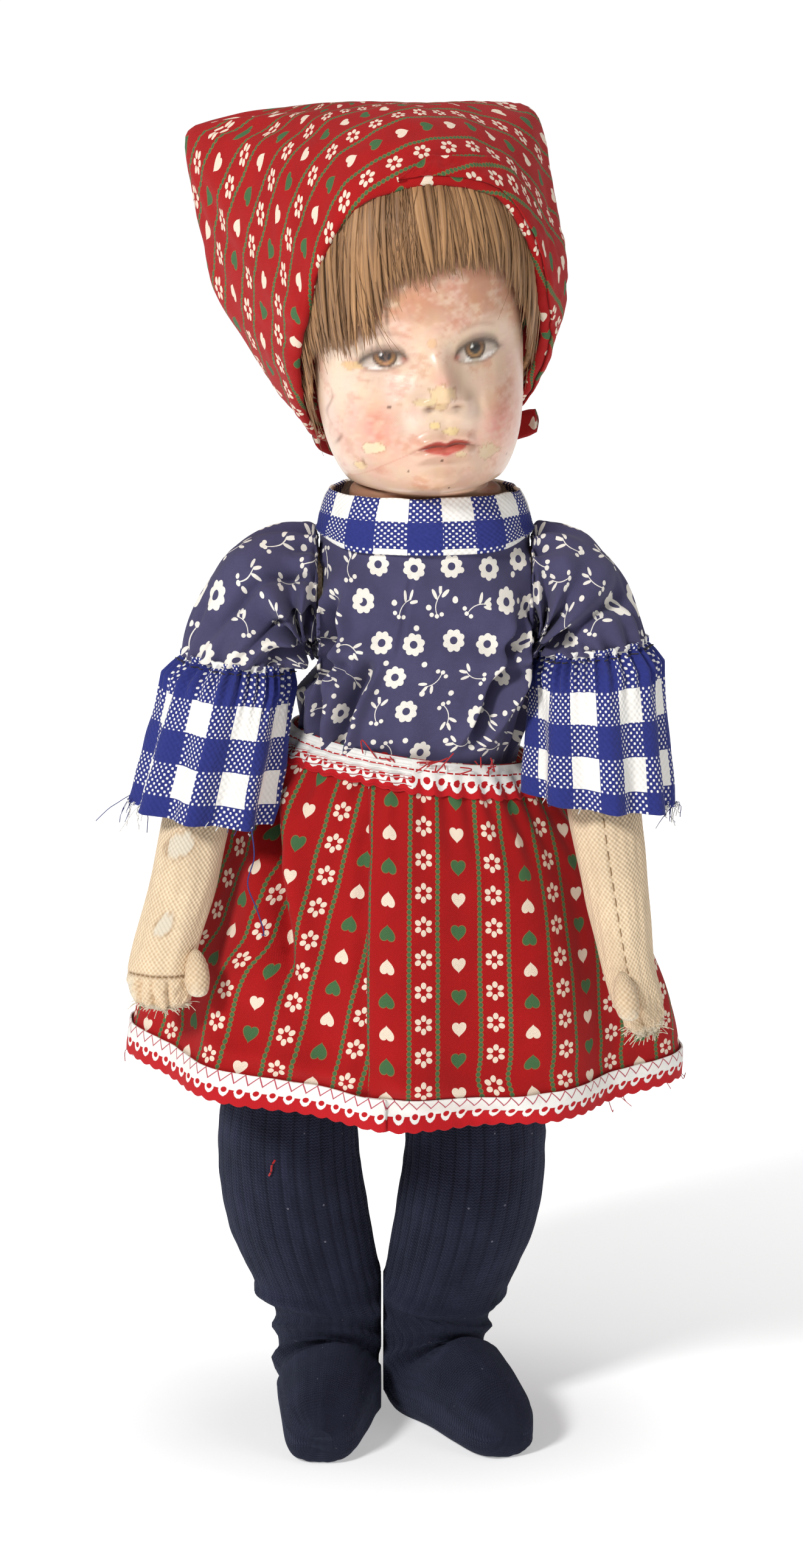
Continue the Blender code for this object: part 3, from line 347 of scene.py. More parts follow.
def mouth_line(x):
    """Height of the line between the lips, in millimetres above the jaw."""
    return 21.4 - 0.013 * x * x + 0.05 * x - 0.9 * bell(x, 2.2)


def face_relief(x, h):
    """Forward swell in millimetres of nose, cheeks, lips, chin and brow, and the hollows of the eyes."""
    under = np.where(h < 39.5, 3.6, 9.5)
    swell = 9.2 * np.exp(-((x - 0.2) / 6.6) ** 2 - ((h - 39.5) / under) ** 2)
    swell += 3.6 * bump(x, 0, -0.6, 0, 5.2, 1) * smooth(40, 46, h) * (1 - smooth(50, 66, h))
    for side in (-1, 1):
        swell += 3.6 * bump(x, h, 8.2 * side - 0.4, 37.6, 3.6, 4.0)
        swell -= 2.0 * bump(x, h, 5.4 * side - 0.3, 35.6, 1.9, 1.4)
        swell += 3.2 * bump(x, h, 24.5 * side - 0.5, 27, 13, 14)
        swell -= 0.9 * bump(x, h, 14.5 * side, 31, 3.5, 8)
        eye_x, eye_h = (-20.4, 55.4) if side < 0 else (15.6, 56.2)
        swell -= 3.2 * bump(x, h, eye_x, eye_h, 13, 8)
        swell += 2.1 * bump(x, h, eye_x, eye_h, 8.0, 4.6)
    line = mouth_line(x)
    wide = 1 - smooth(8, 13, np.abs(x))
    swell += wide * (2.3 * bell(h - line - 2.6, 2.3) + 2.9 * bell(h - line + 3.0, 2.6))
    swell -= 1.5 * (1 - smooth(9, 14, np.abs(x))) * bell(h - line, 0.75)
    swell -= 1.3 * bump(x, h, 0, 12.6, 9, 2.8) + 0.5 * bump(x, h, 0, 29, 2.2, 3.5)
    swell += 3.4 * bump(x, h, -0.5, 5.5, 12, 7) + 1.0 * bump(x, h, 0, 67, 26, 6)
    return swell + 0.12 * ripple(3, x / 9, h / 9)


def head_grid(rows, cols):
    """Level ovals from neck to crown, closer together in front, with the face's relief."""
    c = np.arange(cols) / cols
    t = 2 * math.pi * c - 0.62 * np.sin(2 * math.pi * c)
    z, wide, front, back = spline(head_rows(), rows).T[:, :, None]
    x = wide * np.sin(t)
    y = -np.where(np.cos(t) > 0, front, back) * np.cos(t)
    h = np.broadcast_to(1000 * (z - JAW_Z), x.shape)
    swell = 0.001 * face_relief(1000 * x, h) * smooth(0.002, -0.012, y) * smooth(-6, 2, h)
    return np.stack([x, y - swell, np.broadcast_to(z, x.shape)], 2)


def face_colours(local, dyes):
    """Paint of the face at each point, laid on in the painter's order; alpha is the wear. Some strokes are painted
    light and shade: a paler side towards the key light, a highlight in each eye, and shade at the outer eye corners,
    beside the nose, under the lower lip and under the jaw.
    """
    x, y, h = 1000 * local[..., 0], 1000 * local[..., 1], 1000 * (local[..., 2] - JAW_Z)
    front = smooth(0.002, -0.010, local[..., 1])
    coat = np.broadcast_to(np.array(dyes.flesh), (*x.shape, 3)).copy()

    def stroke(code, mask):
        tone = linear(code) if isinstance(code, str) else np.array(code)
        coat[:] += (tone - coat) * np.clip(mask, 0, 1)[..., None]

    worn = ripple(11, x / 26, y / 26, h / 22)
    fine = ripple(12, x / 7, y / 7, h / 5)
    grain = ripple(13, x / 2.6, y / 2.6, h / 1.9)
    # Painted light: the side of the face towards the key light is painted paler.
    stroke("F4D6BF", 0.6 * bump(x, h, -34, 40, 9, 26))
    stroke("C58768", 0.85 * smooth(60, 76, h + 5 * worn) * front)
    stroke("DDB79A", 0.5 * smooth(-0.2, 1.0, worn + 0.5 * fine) * smooth(60, 72, h))
    stroke("C79C7E", 0.8 * bump(x, h, -1, 4, 28, 10))
    stroke("CE8F72", 0.55 * smooth(-0.1, 0.8, worn + 0.4 * fine) * (1 - smooth(20, 46, h)) * front)
    stroke(dyes.blush, 0.80 * bump(x, h, -23.5, 27.5, 12, 11) * (0.85 + 0.35 * fine))
    stroke(dyes.blush, 0.88 * bump(x, h, 26, 27.5, 12, 13) * (0.9 + 0.3 * fine))
    stroke("E0A08C", 0.45 * bump(x, h, 33, 44, 7, 13))
    stroke("E9A38F", 0.55 * bump(x, h, -0.5, 46, 5, 5))
    stroke("E2A487", 0.45 * bump(x, h, -3, 62, 8, 6) * (0.6 + 0.6 * fine))
    stroke("E3D0BF", 0.7 * bump(x, h, -12.5, 31, 5, 6) + 0.5 * bump(x, h, 11, 30, 5, 6))
    stroke("EBD3BD", 0.36 * smooth(0.0, 1.0, worn + 0.6 * fine) * front)
    stroke("C47C60", 0.40 * smooth(0.35, 1.1, worn - 0.5 * fine + 0.25 * grain) * front)

    for side, corner_out, corner_in, pupil, rise, fall in (
            (-1, (-29.2, 52.4), (-12.2, 54.7), (-20.0, 56.2), 4.4, 2.6),
            (1, (25.6, 55.5), (6.2, 54.0), (14.8, 57.0), 5.1, 3.3)):
        mid = 0.5 * (corner_out[0] + corner_in[0])
        half = 0.5 * abs(corner_out[0] - corner_in[0])
        e = (x - mid) / half
        base = np.interp(x, sorted((corner_out[0], corner_in[0])),
                         [p[1] for p in sorted((corner_out, corner_in))])
        bow = np.clip(1 - e * e, 0, 1)
        top, low = base + rise * bow ** 0.62, base - fall * bow ** 0.8
        open_eye = smooth(-0.5, 0.5, top - h) * smooth(-0.5, 0.5, h - low) * (np.abs(e) < 1)
        far = np.hypot(x - pupil[0], h - pupil[1])
        stroke("BF9A86", 0.50 * np.exp(-((h - base - 1.5) / 6.5) ** 2 - (e / 1.25) ** 2) * front)
        stroke("BFAE9D", open_eye)
        white = open_eye * smooth(-0.6, 0.6, grain + 0.5 * fine) * smooth(4.0, 5.4, far)
        stroke("F0E8DE", white * smooth(0.2, -1.6, h - base))
        stroke("5E4A3A", open_eye * 0.85 * smooth(3.0, 0.2, top - h))
        stroke("4A3320", open_eye * smooth(4.75, 4.25, far))
        stroke(dyes.iris, open_eye * smooth(4.1, 3.3, far))
        stroke("A5763F", open_eye * smooth(4.0, 2.6, far) * smooth(0.8, -2.4, h - pupil[1]))
        stroke("1E1814", open_eye * smooth(2.8, 1.9, far))
        stroke("4A382B", open_eye * smooth(4.6, 3.8, far) * smooth(1.2, 3.2, h - pupil[1]))
        # Painted highlight: a small white catchlight in each iris, above and towards the key light.
        stroke("FBF6EC", open_eye * smooth(0.75, 0.35, np.hypot(x - pupil[0] + 1.3, h - pupil[1] - 0.9)))
        stroke("B3654F", 0.8 * bump(x, h, corner_in[0] + 0.7 * side, corner_in[1], 1.5, 1.2))
        lid = bell(h - top - 0.2, 0.85) * smooth(1.10, 0.90, np.abs(e))
        stroke("3E2E24", 0.95 * lid)
        stroke("7D6350", 0.68 * bell(h - top - 1.5, 1.4) * smooth(1.25, 0.8, np.abs(e)))
        stroke("8B6A55", 0.55 * bell(h - low + 0.2, 0.75) * smooth(1.1, 0.85, np.abs(e)))
        # Painted shade at the outer corner of each eye.
        stroke("7D6353", 0.7 * bump(x, h, corner_out[0], corner_out[1] + 0.4, 2.2, 0.8))
        brow = base + 10.2 + 1.4 * bow - 1.2 * np.abs(e)
        stroke("A4765F", 0.42 * bell(h - brow, 0.9) * smooth(1.05, 0.5, np.abs(e)))

    line = mouth_line(x)
    reach = smooth(11.6, 8.2, np.abs(x))
    upper = 2.3 * np.clip(1 - (x / 11.8) ** 2, 0, 1) ** 0.8 * (1 - 0.28 * bell(x, 1.8))
    lower = 3.3 * np.clip(1 - (x / 8.6) ** 2, 0, 1) ** 0.7
    stroke("D58A76", 0.55 * bump(x, h, 0, 20.5, 11, 5))
    stroke("A8453B", 0.95 * reach * smooth(-0.2, 0.5, h - line) * smooth(-0.5, 0.35, line + upper - h))
    stroke(dyes.lips, 0.95 * smooth(-0.4, 0.3, line - h) * smooth(-0.5, 0.5, h - line + lower))
    stroke("D9836F", 0.55 * bump(x, h, 0.5, 19.2, 4.5, 0.9))
    stroke("7A3A2E", 0.85 * bell(h - line, 0.42) * smooth(10.8, 8.8, np.abs(x)))
    stroke("9C6450", 0.3 * (bump(x, h, -12.2, 18.7, 1.8, 0.9) + bump(x, h, 12.0, 19.6, 1.8, 0.9)))
    # Painted shade in the hollow under the lower lip.
    stroke("B98A78", 0.40 * bump(x, h, 0, 14.2, 7, 1.3))
    for side in (-1, 1):
        stroke("6E4440", 0.85 * bump(x, h, 5.3 * side - 0.35, 35.9, 2.0, 0.95))
        # Painted shade in the crease beside each nose wing.
        stroke("C99A88", 0.45 * bump(x, h, 10.6 * side - 0.5, 36.2, 1.5, 3.0))

    chips = (("DDBE95", -1.2, 40.6, 4.6, 4.2, 0.95), ("D6BC93", -6.6, 38.6, 3.8, 1.3, 0.9),
             ("EAD0AC", -26, 20.6, 3.4, 2.2, 0.9), ("D6BD9D", 17.6, 16.6, 4.2, 2.6, 0.9),
             ("E6C88F", -3.4, 29.0, 1.9, 1.6, 0.95), ("E2C894", 2.2, 26.6, 2.6, 1.2, 0.8),
             ("DCC39E", 5.6, 17.2, 1.7, 1.2, 0.85), ("E8CBA0", -30, 12.4, 1.8, 1.4, 0.8),
             ("DEB983", -31, 52.0, 3.0, 1.6, 0.7), ("E4B98E", -2.6, 60.8, 2.0, 1.5, 0.6))
    wear = np.zeros(x.shape)
    for code, cx, ch, wide, tall, strong in chips:
        edge = np.hypot((x - cx) / wide, (h - ch) / tall) + 0.30 * fine + 0.14 * grain
        mask = strong * smooth(1.12, 0.96, edge) * front
        stroke("A87E58", 0.55 * smooth(1.28, 1.12, edge) * front * strong)
        stroke(code, mask)
        wear = np.maximum(wear, mask)
    cracks = ((-38.4, 36, 0.30, 7.0, 0.6), (-36.2, 22.2, 0.5, 2.4, 0.9), (-29.0, 14.2, 0.45, 1.6, 0.8))
    for cx, ch, wide, tall, strong in cracks:
        stroke("8A5A3C", strong * bump(x + 0.7 * np.sin(h / 2.3), h, cx, ch, wide, tall))
    for cx, ch, size in ((-20, 36.9, 0.75), (-1.6, 15.2, 0.6), (27, 13, 0.4), (-14, 11.4, 0.4), (1, 4, 0.4)):
        stroke("5B3B2B", 0.9 * smooth(1.3, 0.7, np.hypot(x - cx, h - ch) / size))
    # Darker brown under the jaw and down the neck: painted shade under the chin, with some dirt on the neck.
    stroke("A36F52", 0.85 * smooth(1.0, -4.0, h - 0.0025 * x * x - 0.8 * worn))
    stroke("70482F", 0.75 * smooth(-2.5, -6.5, h))
    return np.concatenate([coat, wear[..., None]], -1)


def skull(way):
    """Distance from the middle of the head to its plain surface along unit directions, by halving."""
    rows = spline(head_rows()[2:], 80)
    low = np.zeros(way.shape[:-1])
    high = np.full(way.shape[:-1], HEAD_TALL)
    for _ in range(24):
        reach = 0.5 * (low + high)
        p = way * reach[..., None] + HEAD_MIDDLE
        wide, front, back = (np.interp(p[..., 2], rows[:, 0], rows[:, k], 1e-6, 1e-6) for k in (1, 2, 3))
        inside = (p[..., 0] / wide) ** 2 + (p[..., 1] / np.where(p[..., 1] < 0, front, back)) ** 2 < 1
        low, high = np.where(inside, reach, low), np.where(inside, high, reach)
    return low


def cap_ways(edge, steps, pole):
    """Unit directions in rings from a pole of the head down to an edge all round it."""
    rim = unit(edge - HEAD_MIDDLE)
    axis = unit(np.array(pole, float))
    span = np.arccos(np.clip(rim @ axis, -1, 1))
    side = unit(rim - (rim @ axis)[:, None] * axis)
    turn = np.asarray(steps)[:, None] * span
    return np.cos(turn)[..., None] * axis + np.sin(turn)[..., None] * side


def wig_edge(t):
    """Lower edge of the wig: a straight fringe, longer at the temples, down to the nape."""
    round_head = (-3.15, -1.95, -1.70, -1.50, -1.32, -0.82, -0.66, -0.50, -0.3,
                  0.2, 0.62, 0.9, 1.05, 1.25, 1.5, 1.9, 3.15)
    height = (16, 24, 27, 38, 60, 64, 67, 84, 87.5, 91.5, 90.5, 78, 66, 54, 47, 26, 16)
    rise = 0.001 * np.interp(t, round_head, height)
    return np.stack([HEAD_WIDE / 2 * np.sin(t), -FACE_DEEP * np.cos(t), JAW_Z + rise], -1)


def scarf_edge(t):
    """Edge of the scarf: over the fringe, down past both cheeks and back to the nape."""
    rise = np.interp(np.cos(t), (-1, -0.6, -0.1, 0.35, 0.75, 1), (0.10, 0.13, 0.30, 0.52, 0.83, 0.945)) * HEAD_TALL
    return np.stack([HEAD_WIDE / 2 * np.sin(t), -FACE_DEEP * np.cos(t), JAW_Z + rise], -1)


def taut(ways, base):
    """Distance out to a cloth drawn tight over the head and the points its folds stand out to.

    It is the convex hull seen from the head's middle: the least reach of many touching planes.
    """
    count = 2600
    k = np.arange(count) + 0.5
    polar, swing = np.arccos(1 - 2 * k / count), k * math.pi * (1 + 5 ** 0.5)
    planes = np.stack([np.cos(swing) * np.sin(polar), np.sin(swing) * np.sin(polar), np.cos(polar)], 1)
    held = np.vstack([(ways * base[..., None])[::4, ::4].reshape(-1, 3), SCARF_POINTS])
    reach = (planes @ held.T).max(1)
    flat = ways.reshape(-1, 3)
    best = [(1 / np.max((part @ planes.T) / reach, axis=1)) for part in np.array_split(flat, 12)]
    return np.concatenate(best).reshape(base.shape)


def skirt_size(step):
    """Half width and half depth of the skirt at a share of its length, without its folds."""
    flare = 1 - (1 - np.clip(step, 0, 1)) ** 1.5
    waist, deep = 0.0466, 0.0401
    return waist + (HEM_WIDE / 2 - SKIRT_EASE - waist) * flare, deep + (HEM_DEEP / 2 - SKIRT_EASE - deep) * flare


def skirt_points(step, t, grow, sizes):
    """Surface of the skirt at shares of its length and angles round it.

    An oval that flares from waist to hem, plus waves round it, gathers at the waist, one deep fold and bags.
    """
    down = np.clip(step, 0, 1)
    wide, deep = skirt_size(step)
    x_flat = wide * np.sin(t)
    near = smooth(-0.1, 0.2, np.cos(t))
    waves = np.cos(9 * t + 0.5 + 0.5 * np.sin(2 * t)) + 0.45 * np.cos(5 * t - 1.1)
    fold = sizes.skirt_fold * np.minimum(1, 1.3 * step) * waves / 1.45
    gathers = 0.0009 * np.cos(34 * t + 3 * np.sin(2 * t))
    fold = fold + gathers * (1 - smooth(0.05, 0.45, step)) * smooth(0, 0.06, step)
    groove = -0.056 + 0.017 * (step - 0.25)
    press = smooth(0.02, 0.16, step) * (1 - smooth(0.50, 0.80, step)) * near
    fold = fold - sizes.deep_fold * press * bell(x_flat - groove, 0.0042)
    fold = fold + 0.0030 * press * bell(x_flat - groove - 0.0095, 0.0050)
    fold = fold - 0.0042 * near * bump(x_flat, step, -0.062, 0.82, 0.009, 0.10)
    fold = fold + 0.0028 * near * bump(x_flat, step, -0.043, 0.86, 0.008, 0.08)
    slope = step - 0.90 - 1.1 * (x_flat - 0.015)
    fold = fold + 0.0042 * near * bell(slope, 0.040) * smooth(-0.016, 0.0, x_flat) * smooth(0.055, 0.035, x_flat)
    fold = fold - 0.0032 * near * bell(slope - 0.075, 0.030) * smooth(-0.016, 0.0, x_flat) \
        * smooth(0.055, 0.035, x_flat)
    sag = step - 0.885 - 0.35 * (x_flat + 0.035)
    fold = fold + 0.0034 * near * bell(sag, 0.030) * smooth(-0.085, -0.06, x_flat) * smooth(-0.006, -0.02, x_flat)
    fold = fold + 0.0007 * ripple(21, t * 2.2, step * 2.0) * smooth(0.05, 0.3, step)
    side = np.maximum(np.sin(t), 0)
    x = WAIST_X * (1 - down) + 0.0006 + (wide + fold + grow) * np.sin(t) + 0.0045 * np.sin(math.pi * down) * side
    hang = 0.0055 * np.maximum(np.cos(t), 0) - 0.0085 * np.maximum(-np.sin(t), 0)
    z = WAIST_Z - SKIRT_LONG * step - WAIST_TILT * (1 - down) * (x - WAIST_X) - hang * down
    return np.stack([x, -(deep + fold + grow) * np.cos(t), z], -1)


def skirt_halves(step):
    """First and last angle of the two halves of the skirt at each share of its length.

    They part at the pleat in front and at the middle of the back, the left half lying over the right.
    """
    wide = skirt_size(step)[0]
    middle = WAIST_X * (1 - np.clip(step, 0, 1)) + 0.0006
    front = np.arcsin(np.clip((-0.0137 - middle) / wide, -0.9, 0.9))
    back = math.pi - np.arcsin(np.clip((LEG_X - middle) / wide, -0.9, 0.9))
    lap = 0.008 / wide
    return {"left": (front, back + 0.5 * lap), "right": (back - 0.5 * lap, 2 * math.pi + front + lap)}


def blouse_size(z):
    """Half width, half depth and ease of the blouse at a height: slack over the body, drawn in at the neck."""
    body = spline(torso_rows(), 200)
    half, deep = (np.interp(z, body[:, 0], body[:, k]) for k in (1, 2))
    rise = np.clip(0.8 * (z - WAIST_Z) / (SHOULDER_Z - WAIST_Z), 0, 1)
    ease = 2 * CLEAR + CLOTH + 0.0045 * np.sin(math.pi * rise)
    neck = smooth(0.352, 0.3655, z)
    half = half + ease + (COLLAR_WIDE / 2 - CLOTH - half - ease) * neck
    return half, deep + ease + (0.76 * COLLAR_WIDE / 2 - CLOTH - deep - ease) * neck, ease


def blouse_folds(z, t):
    """Swell of the blouse: drawn creases with a ridge on both sides, folds that fan out from below each arm."""
    fold = 0.0005 * ripple(81, t * 1.6, z / 0.03) * smooth(0.288, 0.30, z)
    fold = fold + 0.0042 * bell(np.abs(t) - 0.70, 0.30) * smooth(0.274, 0.290, z) * smooth(0.360, 0.340, z)
    creases = ((-0.58, 6.0, 0.055, 0.0085, 0.274, 0.326), (-0.86, 3.0, 0.055, 0.0085, 0.285, 0.352),
               (-1.15, 2.0, 0.055, 0.0042, 0.276, 0.336), (0.58, 5.0, 0.060, 0.0080, 0.284, 0.344),
               (0.80, 9.0, 0.055, 0.0080, 0.300, 0.362), (1.05, -3.0, 0.060, 0.0046, 0.276, 0.328),
               (-0.30, 3.5, 0.020, 0.0008, 0.318, 0.362), (0.12, -4.0, 0.090, 0.0014, 0.272, 0.302),
               (-0.18, 2.0, 0.070, 0.0012, 0.272, 0.300))
    for place, lean, wide, depth, low, high in creases:
        off = np.abs(t - place - lean * (z - 0.30)) / wide
        drawn = smooth(low, low + 0.014, z) * smooth(high, high - 0.016, z)
        fold = fold + depth * drawn * (0.55 * bell(off - 2.0, 0.8) - np.exp(-off ** 2))
    for out in SIDES.values():
        off, rise = 0.045 * (out * t - 1.02), z - 0.323
        reach, angle = np.hypot(off, rise), np.arctan2(rise, -off)
        drawn = smooth(0.003, 0.012, reach) * bell(reach, 0.036)
        fold = fold + 0.0036 * drawn * np.cos(7 * angle + 0.8 * np.sin(3 * angle) + out)
    return fold * smooth(0.3655, 0.352, z)


def beside_body(points, gap):
    """Moves points that would lie inside the skirt or blouse out to a gap from it."""
    step = (WAIST_Z - WAIST_TILT * (points[..., 0] - WAIST_X) - points[..., 2]) / SKIRT_LONG
    wide, deep = skirt_size(step)
    loose = gap + np.maximum(SKIRT_EASE * 1.3 * step, 0) + 0.0045 * np.clip(step, 0, 1) + TRIM + 2 * CLEAR
    share = np.hypot((points[..., 0] - WAIST_X) / (wide + loose), points[..., 1] / (deep + loose))
    near = np.where(points[..., 2] < WAIST_Z + 0.0366, np.maximum(1, 1 / np.maximum(share, 1e-6)), 1)
    moved = points.copy()
    moved[..., 0] = WAIST_X + (points[..., 0] - WAIST_X) * near
    moved[..., 1] = points[..., 1] * near
    return moved


def arm_rows(side):
    """Out, back and down from the shoulder, half width, half depth and tilt of each arm's sections."""
    if side == "right":
        drop = 0.157
        shape = ((0, 0, 0, 1, 1, 0), (0.0090, 0, 0.004, 1.01, 1.01, 8), (0.0215, 0.006, 0.058, 1.00, 1.0, 38),
                 (0.0340, 0.012, 0.190, 0.95, 0.95, 72), (0.0415, 0.022, 0.350, 0.92, 0.90, 80),
                 (0.0492, 0.037, 0.540, 0.87, 0.84, 82), (0.0545, 0.048, 0.700, 0.86, 0.80, 84),
                 (0.0610, 0.057, 0.840, 0.84, 0.70, 87), (0.0628, 0.0605, 0.925, 0.86, 0.60, 89),
                 (0.0625, 0.0615, 0.980, 0.68, 0.46, 90), (0.0623, 0.062, 1.0, 0.30, 0.22, 90))
    else:
        drop = 0.166
        shape = ((0, 0, 0, 1, 1, 0), (0.0085, 0, 0.004, 1.01, 1.01, 8), (0.0195, 0.005, 0.048, 1.00, 1.0, 42),
                 (0.0270, 0.011, 0.160, 0.95, 0.97, 76), (0.0285, 0.022, 0.315, 0.94, 0.94, 87),
                 (0.0304, 0.037, 0.500, 0.92, 0.90, 84), (0.0345, 0.050, 0.675, 0.81, 0.86, 81),
                 (0.0388, 0.060, 0.830, 0.66, 0.80, 78), (0.0422, 0.064, 0.910, 0.62, 0.76, 76),
                 (0.0455, 0.065, 0.970, 0.47, 0.62, 74), (0.0470, 0.0655, 1.0, 0.22, 0.28, 73))
    return [(out, -ahead, -drop * down, ARM_ROOT * wide, ARM_ROOT * deep, math.radians(tilt))
            for out, ahead, down, wide, deep, tilt in shape]


def shoulder(side):
    """Middle of the face that an arm turns on."""
    return np.array([NECK_X + SIDES[side] * (SHOULDER_WIDE / 2 + RUN), 0, SHOULDER_Z])


def cross_rings(home, rows, out, t, swell=0):
    """Ovals across an arm or sleeve; tilt 0 faces sideways, 90 degrees faces down; swell adds to their radius."""
    x, y, z, outer, inner, deep, tilt = np.array(rows, float).T[:, :, None]
    reach = (np.where(np.cos(t) > 0, outer, inner) + swell) * np.cos(t)
    return np.stack([home[0] + out * (x + np.sin(tilt) * reach), home[1] + y - (deep + swell) * np.sin(t),
                     home[2] + z + np.cos(tilt) * reach], 2)


def arm_grid(side, rows=150, cols=128):
    """Stuffed arm: ovals down its bend, with fingers sewn off by grooves and a slight seam."""
    shape = spline(arm_rows(side), rows)
    full = np.insert(shape, 3, shape[:, 3], axis=1)
    share = shares(rows)
    t = turns(cols)
    swell = 0.0005 * ripple(31 if side == "right" else 32, np.cos(t), np.sin(t), 5 * share)
    across = shape[:, 3:4] * np.cos(t)
    facing = smooth(-0.1, 0.35, np.sin(t))
    if side == "right":
        fingers = smooth(0.775, 0.81, share)
        for place in (0.0088, 0.0035, -0.0030):
            swell = swell - 0.0021 * fingers * facing * bell(across - place, 0.0009)
        swell = swell - 0.0008 * facing * bell(share - 0.775, 0.006)
        swell = swell + 0.0006 * fingers * ripple(33, 3 * np.cos(t), 3 * np.sin(t), 14 * share)
    else:
        tip = smooth(0.74, 0.82, share)
        swell = swell - 0.0014 * tip * bell(across + 0.001, 0.0013) * facing
        swell = swell + 0.0006 * tip * ripple(34, 3 * np.cos(t), 3 * np.sin(t), 14 * share)
        swell = swell - 0.00035 * facing * bell(across + 0.0012, 0.0006) * smooth(0.3, 0.4, share)
    return cross_rings(shoulder(side), full, SIDES[side], t, swell)


def thumb_grid(side):
    """Thumb sewn to the inner side of the hand: a short rounded tube that leans a little."""
    x, y, z, wide, deep, _ = arm_rows(side)[7]
    out, radius = SIDES[side], 0.0048
    if side == "right":
        turn = math.radians(34)
        shift = np.array([-out * (wide + radius - 0.0036) * math.cos(turn), -(deep + radius) * math.sin(turn), 0])
        lean = np.array([-0.05 * out, -0.06, -1.0])
    else:
        shift = np.array([-0.3 * out * wide, -(deep + radius + 2 * CLEAR), 0])
        lean = np.array([0.15 * out, -0.15, -1.0])
    profile = ((0, 0.10), (0.10, 0.50), (0.35, 0.92), (0.65, 1.0), (0.88, 0.84), (0.97, 0.54), (1.0, 0.12))
    step, size = spline(profile, 34).T
    t = turns(40)
    size = size[:, None] * radius * (1 + 0.07 * ripple(35, 2 * np.cos(t), 2 * np.sin(t), 4 * step[:, None]))
    base = shoulder(side) + np.array([out * x, y, z]) + shift
    ring = np.stack([size * np.cos(t), size * np.sin(t), np.zeros_like(size)], 2)
    return base + 0.019 * step[:, None, None] * lean + ring


def sleeve_rows(side):
    """Out, back, down, outer and inner half width, half depth and tilt from the armhole to the seam."""
    puff, hug = 0.0245, ARM_ROOT + 2 * CLEAR + CLOTH
    spread, fall, full = (1.0, 1.0, 1.0) if side == "right" else (0.74, 0.80, 0.93)
    shape = ((0.0000, 0, 0.000, hug, hug, hug, 0), (0.0004, 0, 0.0005, 0.92 * puff, 0.84 * puff, 0.90 * puff, 0),
             (0.0050, 0.001, 0.0005, 1.05 * puff, 0.88 * puff, puff, 5),
             (0.0130, 0.004, 0.0045, full * 1.24 * puff, 0.84 * puff, 1.06 * puff, 28),
             (0.0220, 0.009, 0.0140, full * 1.14 * puff, 0.80 * puff, 1.02 * puff, 52),
             (0.0320, 0.013, 0.0265, 0.87 * puff, 0.87 * puff, 0.90 * puff, 84))
    return [(out * spread, -ahead, -down * fall, wide, slim, deep, math.radians(tilt))
            for out, ahead, down, wide, slim, deep, tilt in shape]


def armhole(side):
    """Middle of the hole that a sleeve is sewn to."""
    return np.array([NECK_X + SIDES[side] * (ARMHOLE + CLEAR), 0, SHOULDER_Z])


def sleeve_grid(side):
    """Puffed sleeve: ovals from the armhole to the frill, gathered at both ends, with folds in the puff."""
    stations = sleeve_rows(side)
    rows = np.vstack([np.linspace(stations[0], stations[1], 5)[:-1], spline(stations[1:], 84)])
    share = np.clip((np.arange(len(rows)) - 4) / 83, 0, 1)[:, None]
    t = turns(220)
    swell = 0.0027 * np.sin(13 * t + 2 * np.sin(2 * t)) * (1 - smooth(0.05, 0.6, share)) * smooth(0, 0.06, share)
    swell = swell + 0.0013 * np.cos(19 * t + 1.5 * np.sin(3 * t)) * smooth(0.62, 1, share)
    front = smooth(0.0, 0.6, np.sin(t))
    off, rise = 0.40 * (2.45 - t), share - 0.48
    reach, angle = np.hypot(off, rise), np.arctan2(rise, off)
    drawn = smooth(0.03, 0.16, reach) * bell(reach, 0.62) * smooth(0.0, 0.15, share) * smooth(1.0, 0.8, share)
    swell = swell + 0.0062 * front * drawn * np.cos(8 * angle + 1.2 * np.sin(2 * angle) + SIDES[side])
    if side == "left":
        lap = share - 0.70 - 0.05 * np.cos(t)
        swell = swell + front * (0.0044 * bell(lap + 0.10, 0.085) - 0.0065 * bell(lap - 0.03, 0.050))
        groove = 0.0030 * front * bell(np.cos(t) + 0.55, 0.10)
        swell = swell - groove * smooth(0.1, 0.3, share) * smooth(0.9, 0.6, share)
    else:
        for place, deep in ((0.45, 0.0044), (-0.15, 0.0050), (-0.62, 0.0038)):
            lean = np.cos(t) - place - 0.5 * (share - 0.5)
            swell = swell - deep * front * bell(lean, 0.075) * smooth(0.05, 0.25, share) * smooth(0.98, 0.7, share)
        swell = swell + 0.0016 * front * bell(share - 0.55, 0.2)
    slack = 0.0011 * ripple(41 + SIDES[side], 1.2 * np.cos(t), 1.2 * np.sin(t), 2 * share)
    swell = swell + slack * smooth(0, 0.2, share)
    return cross_rings(armhole(side), rows, SIDES[side], t, swell)


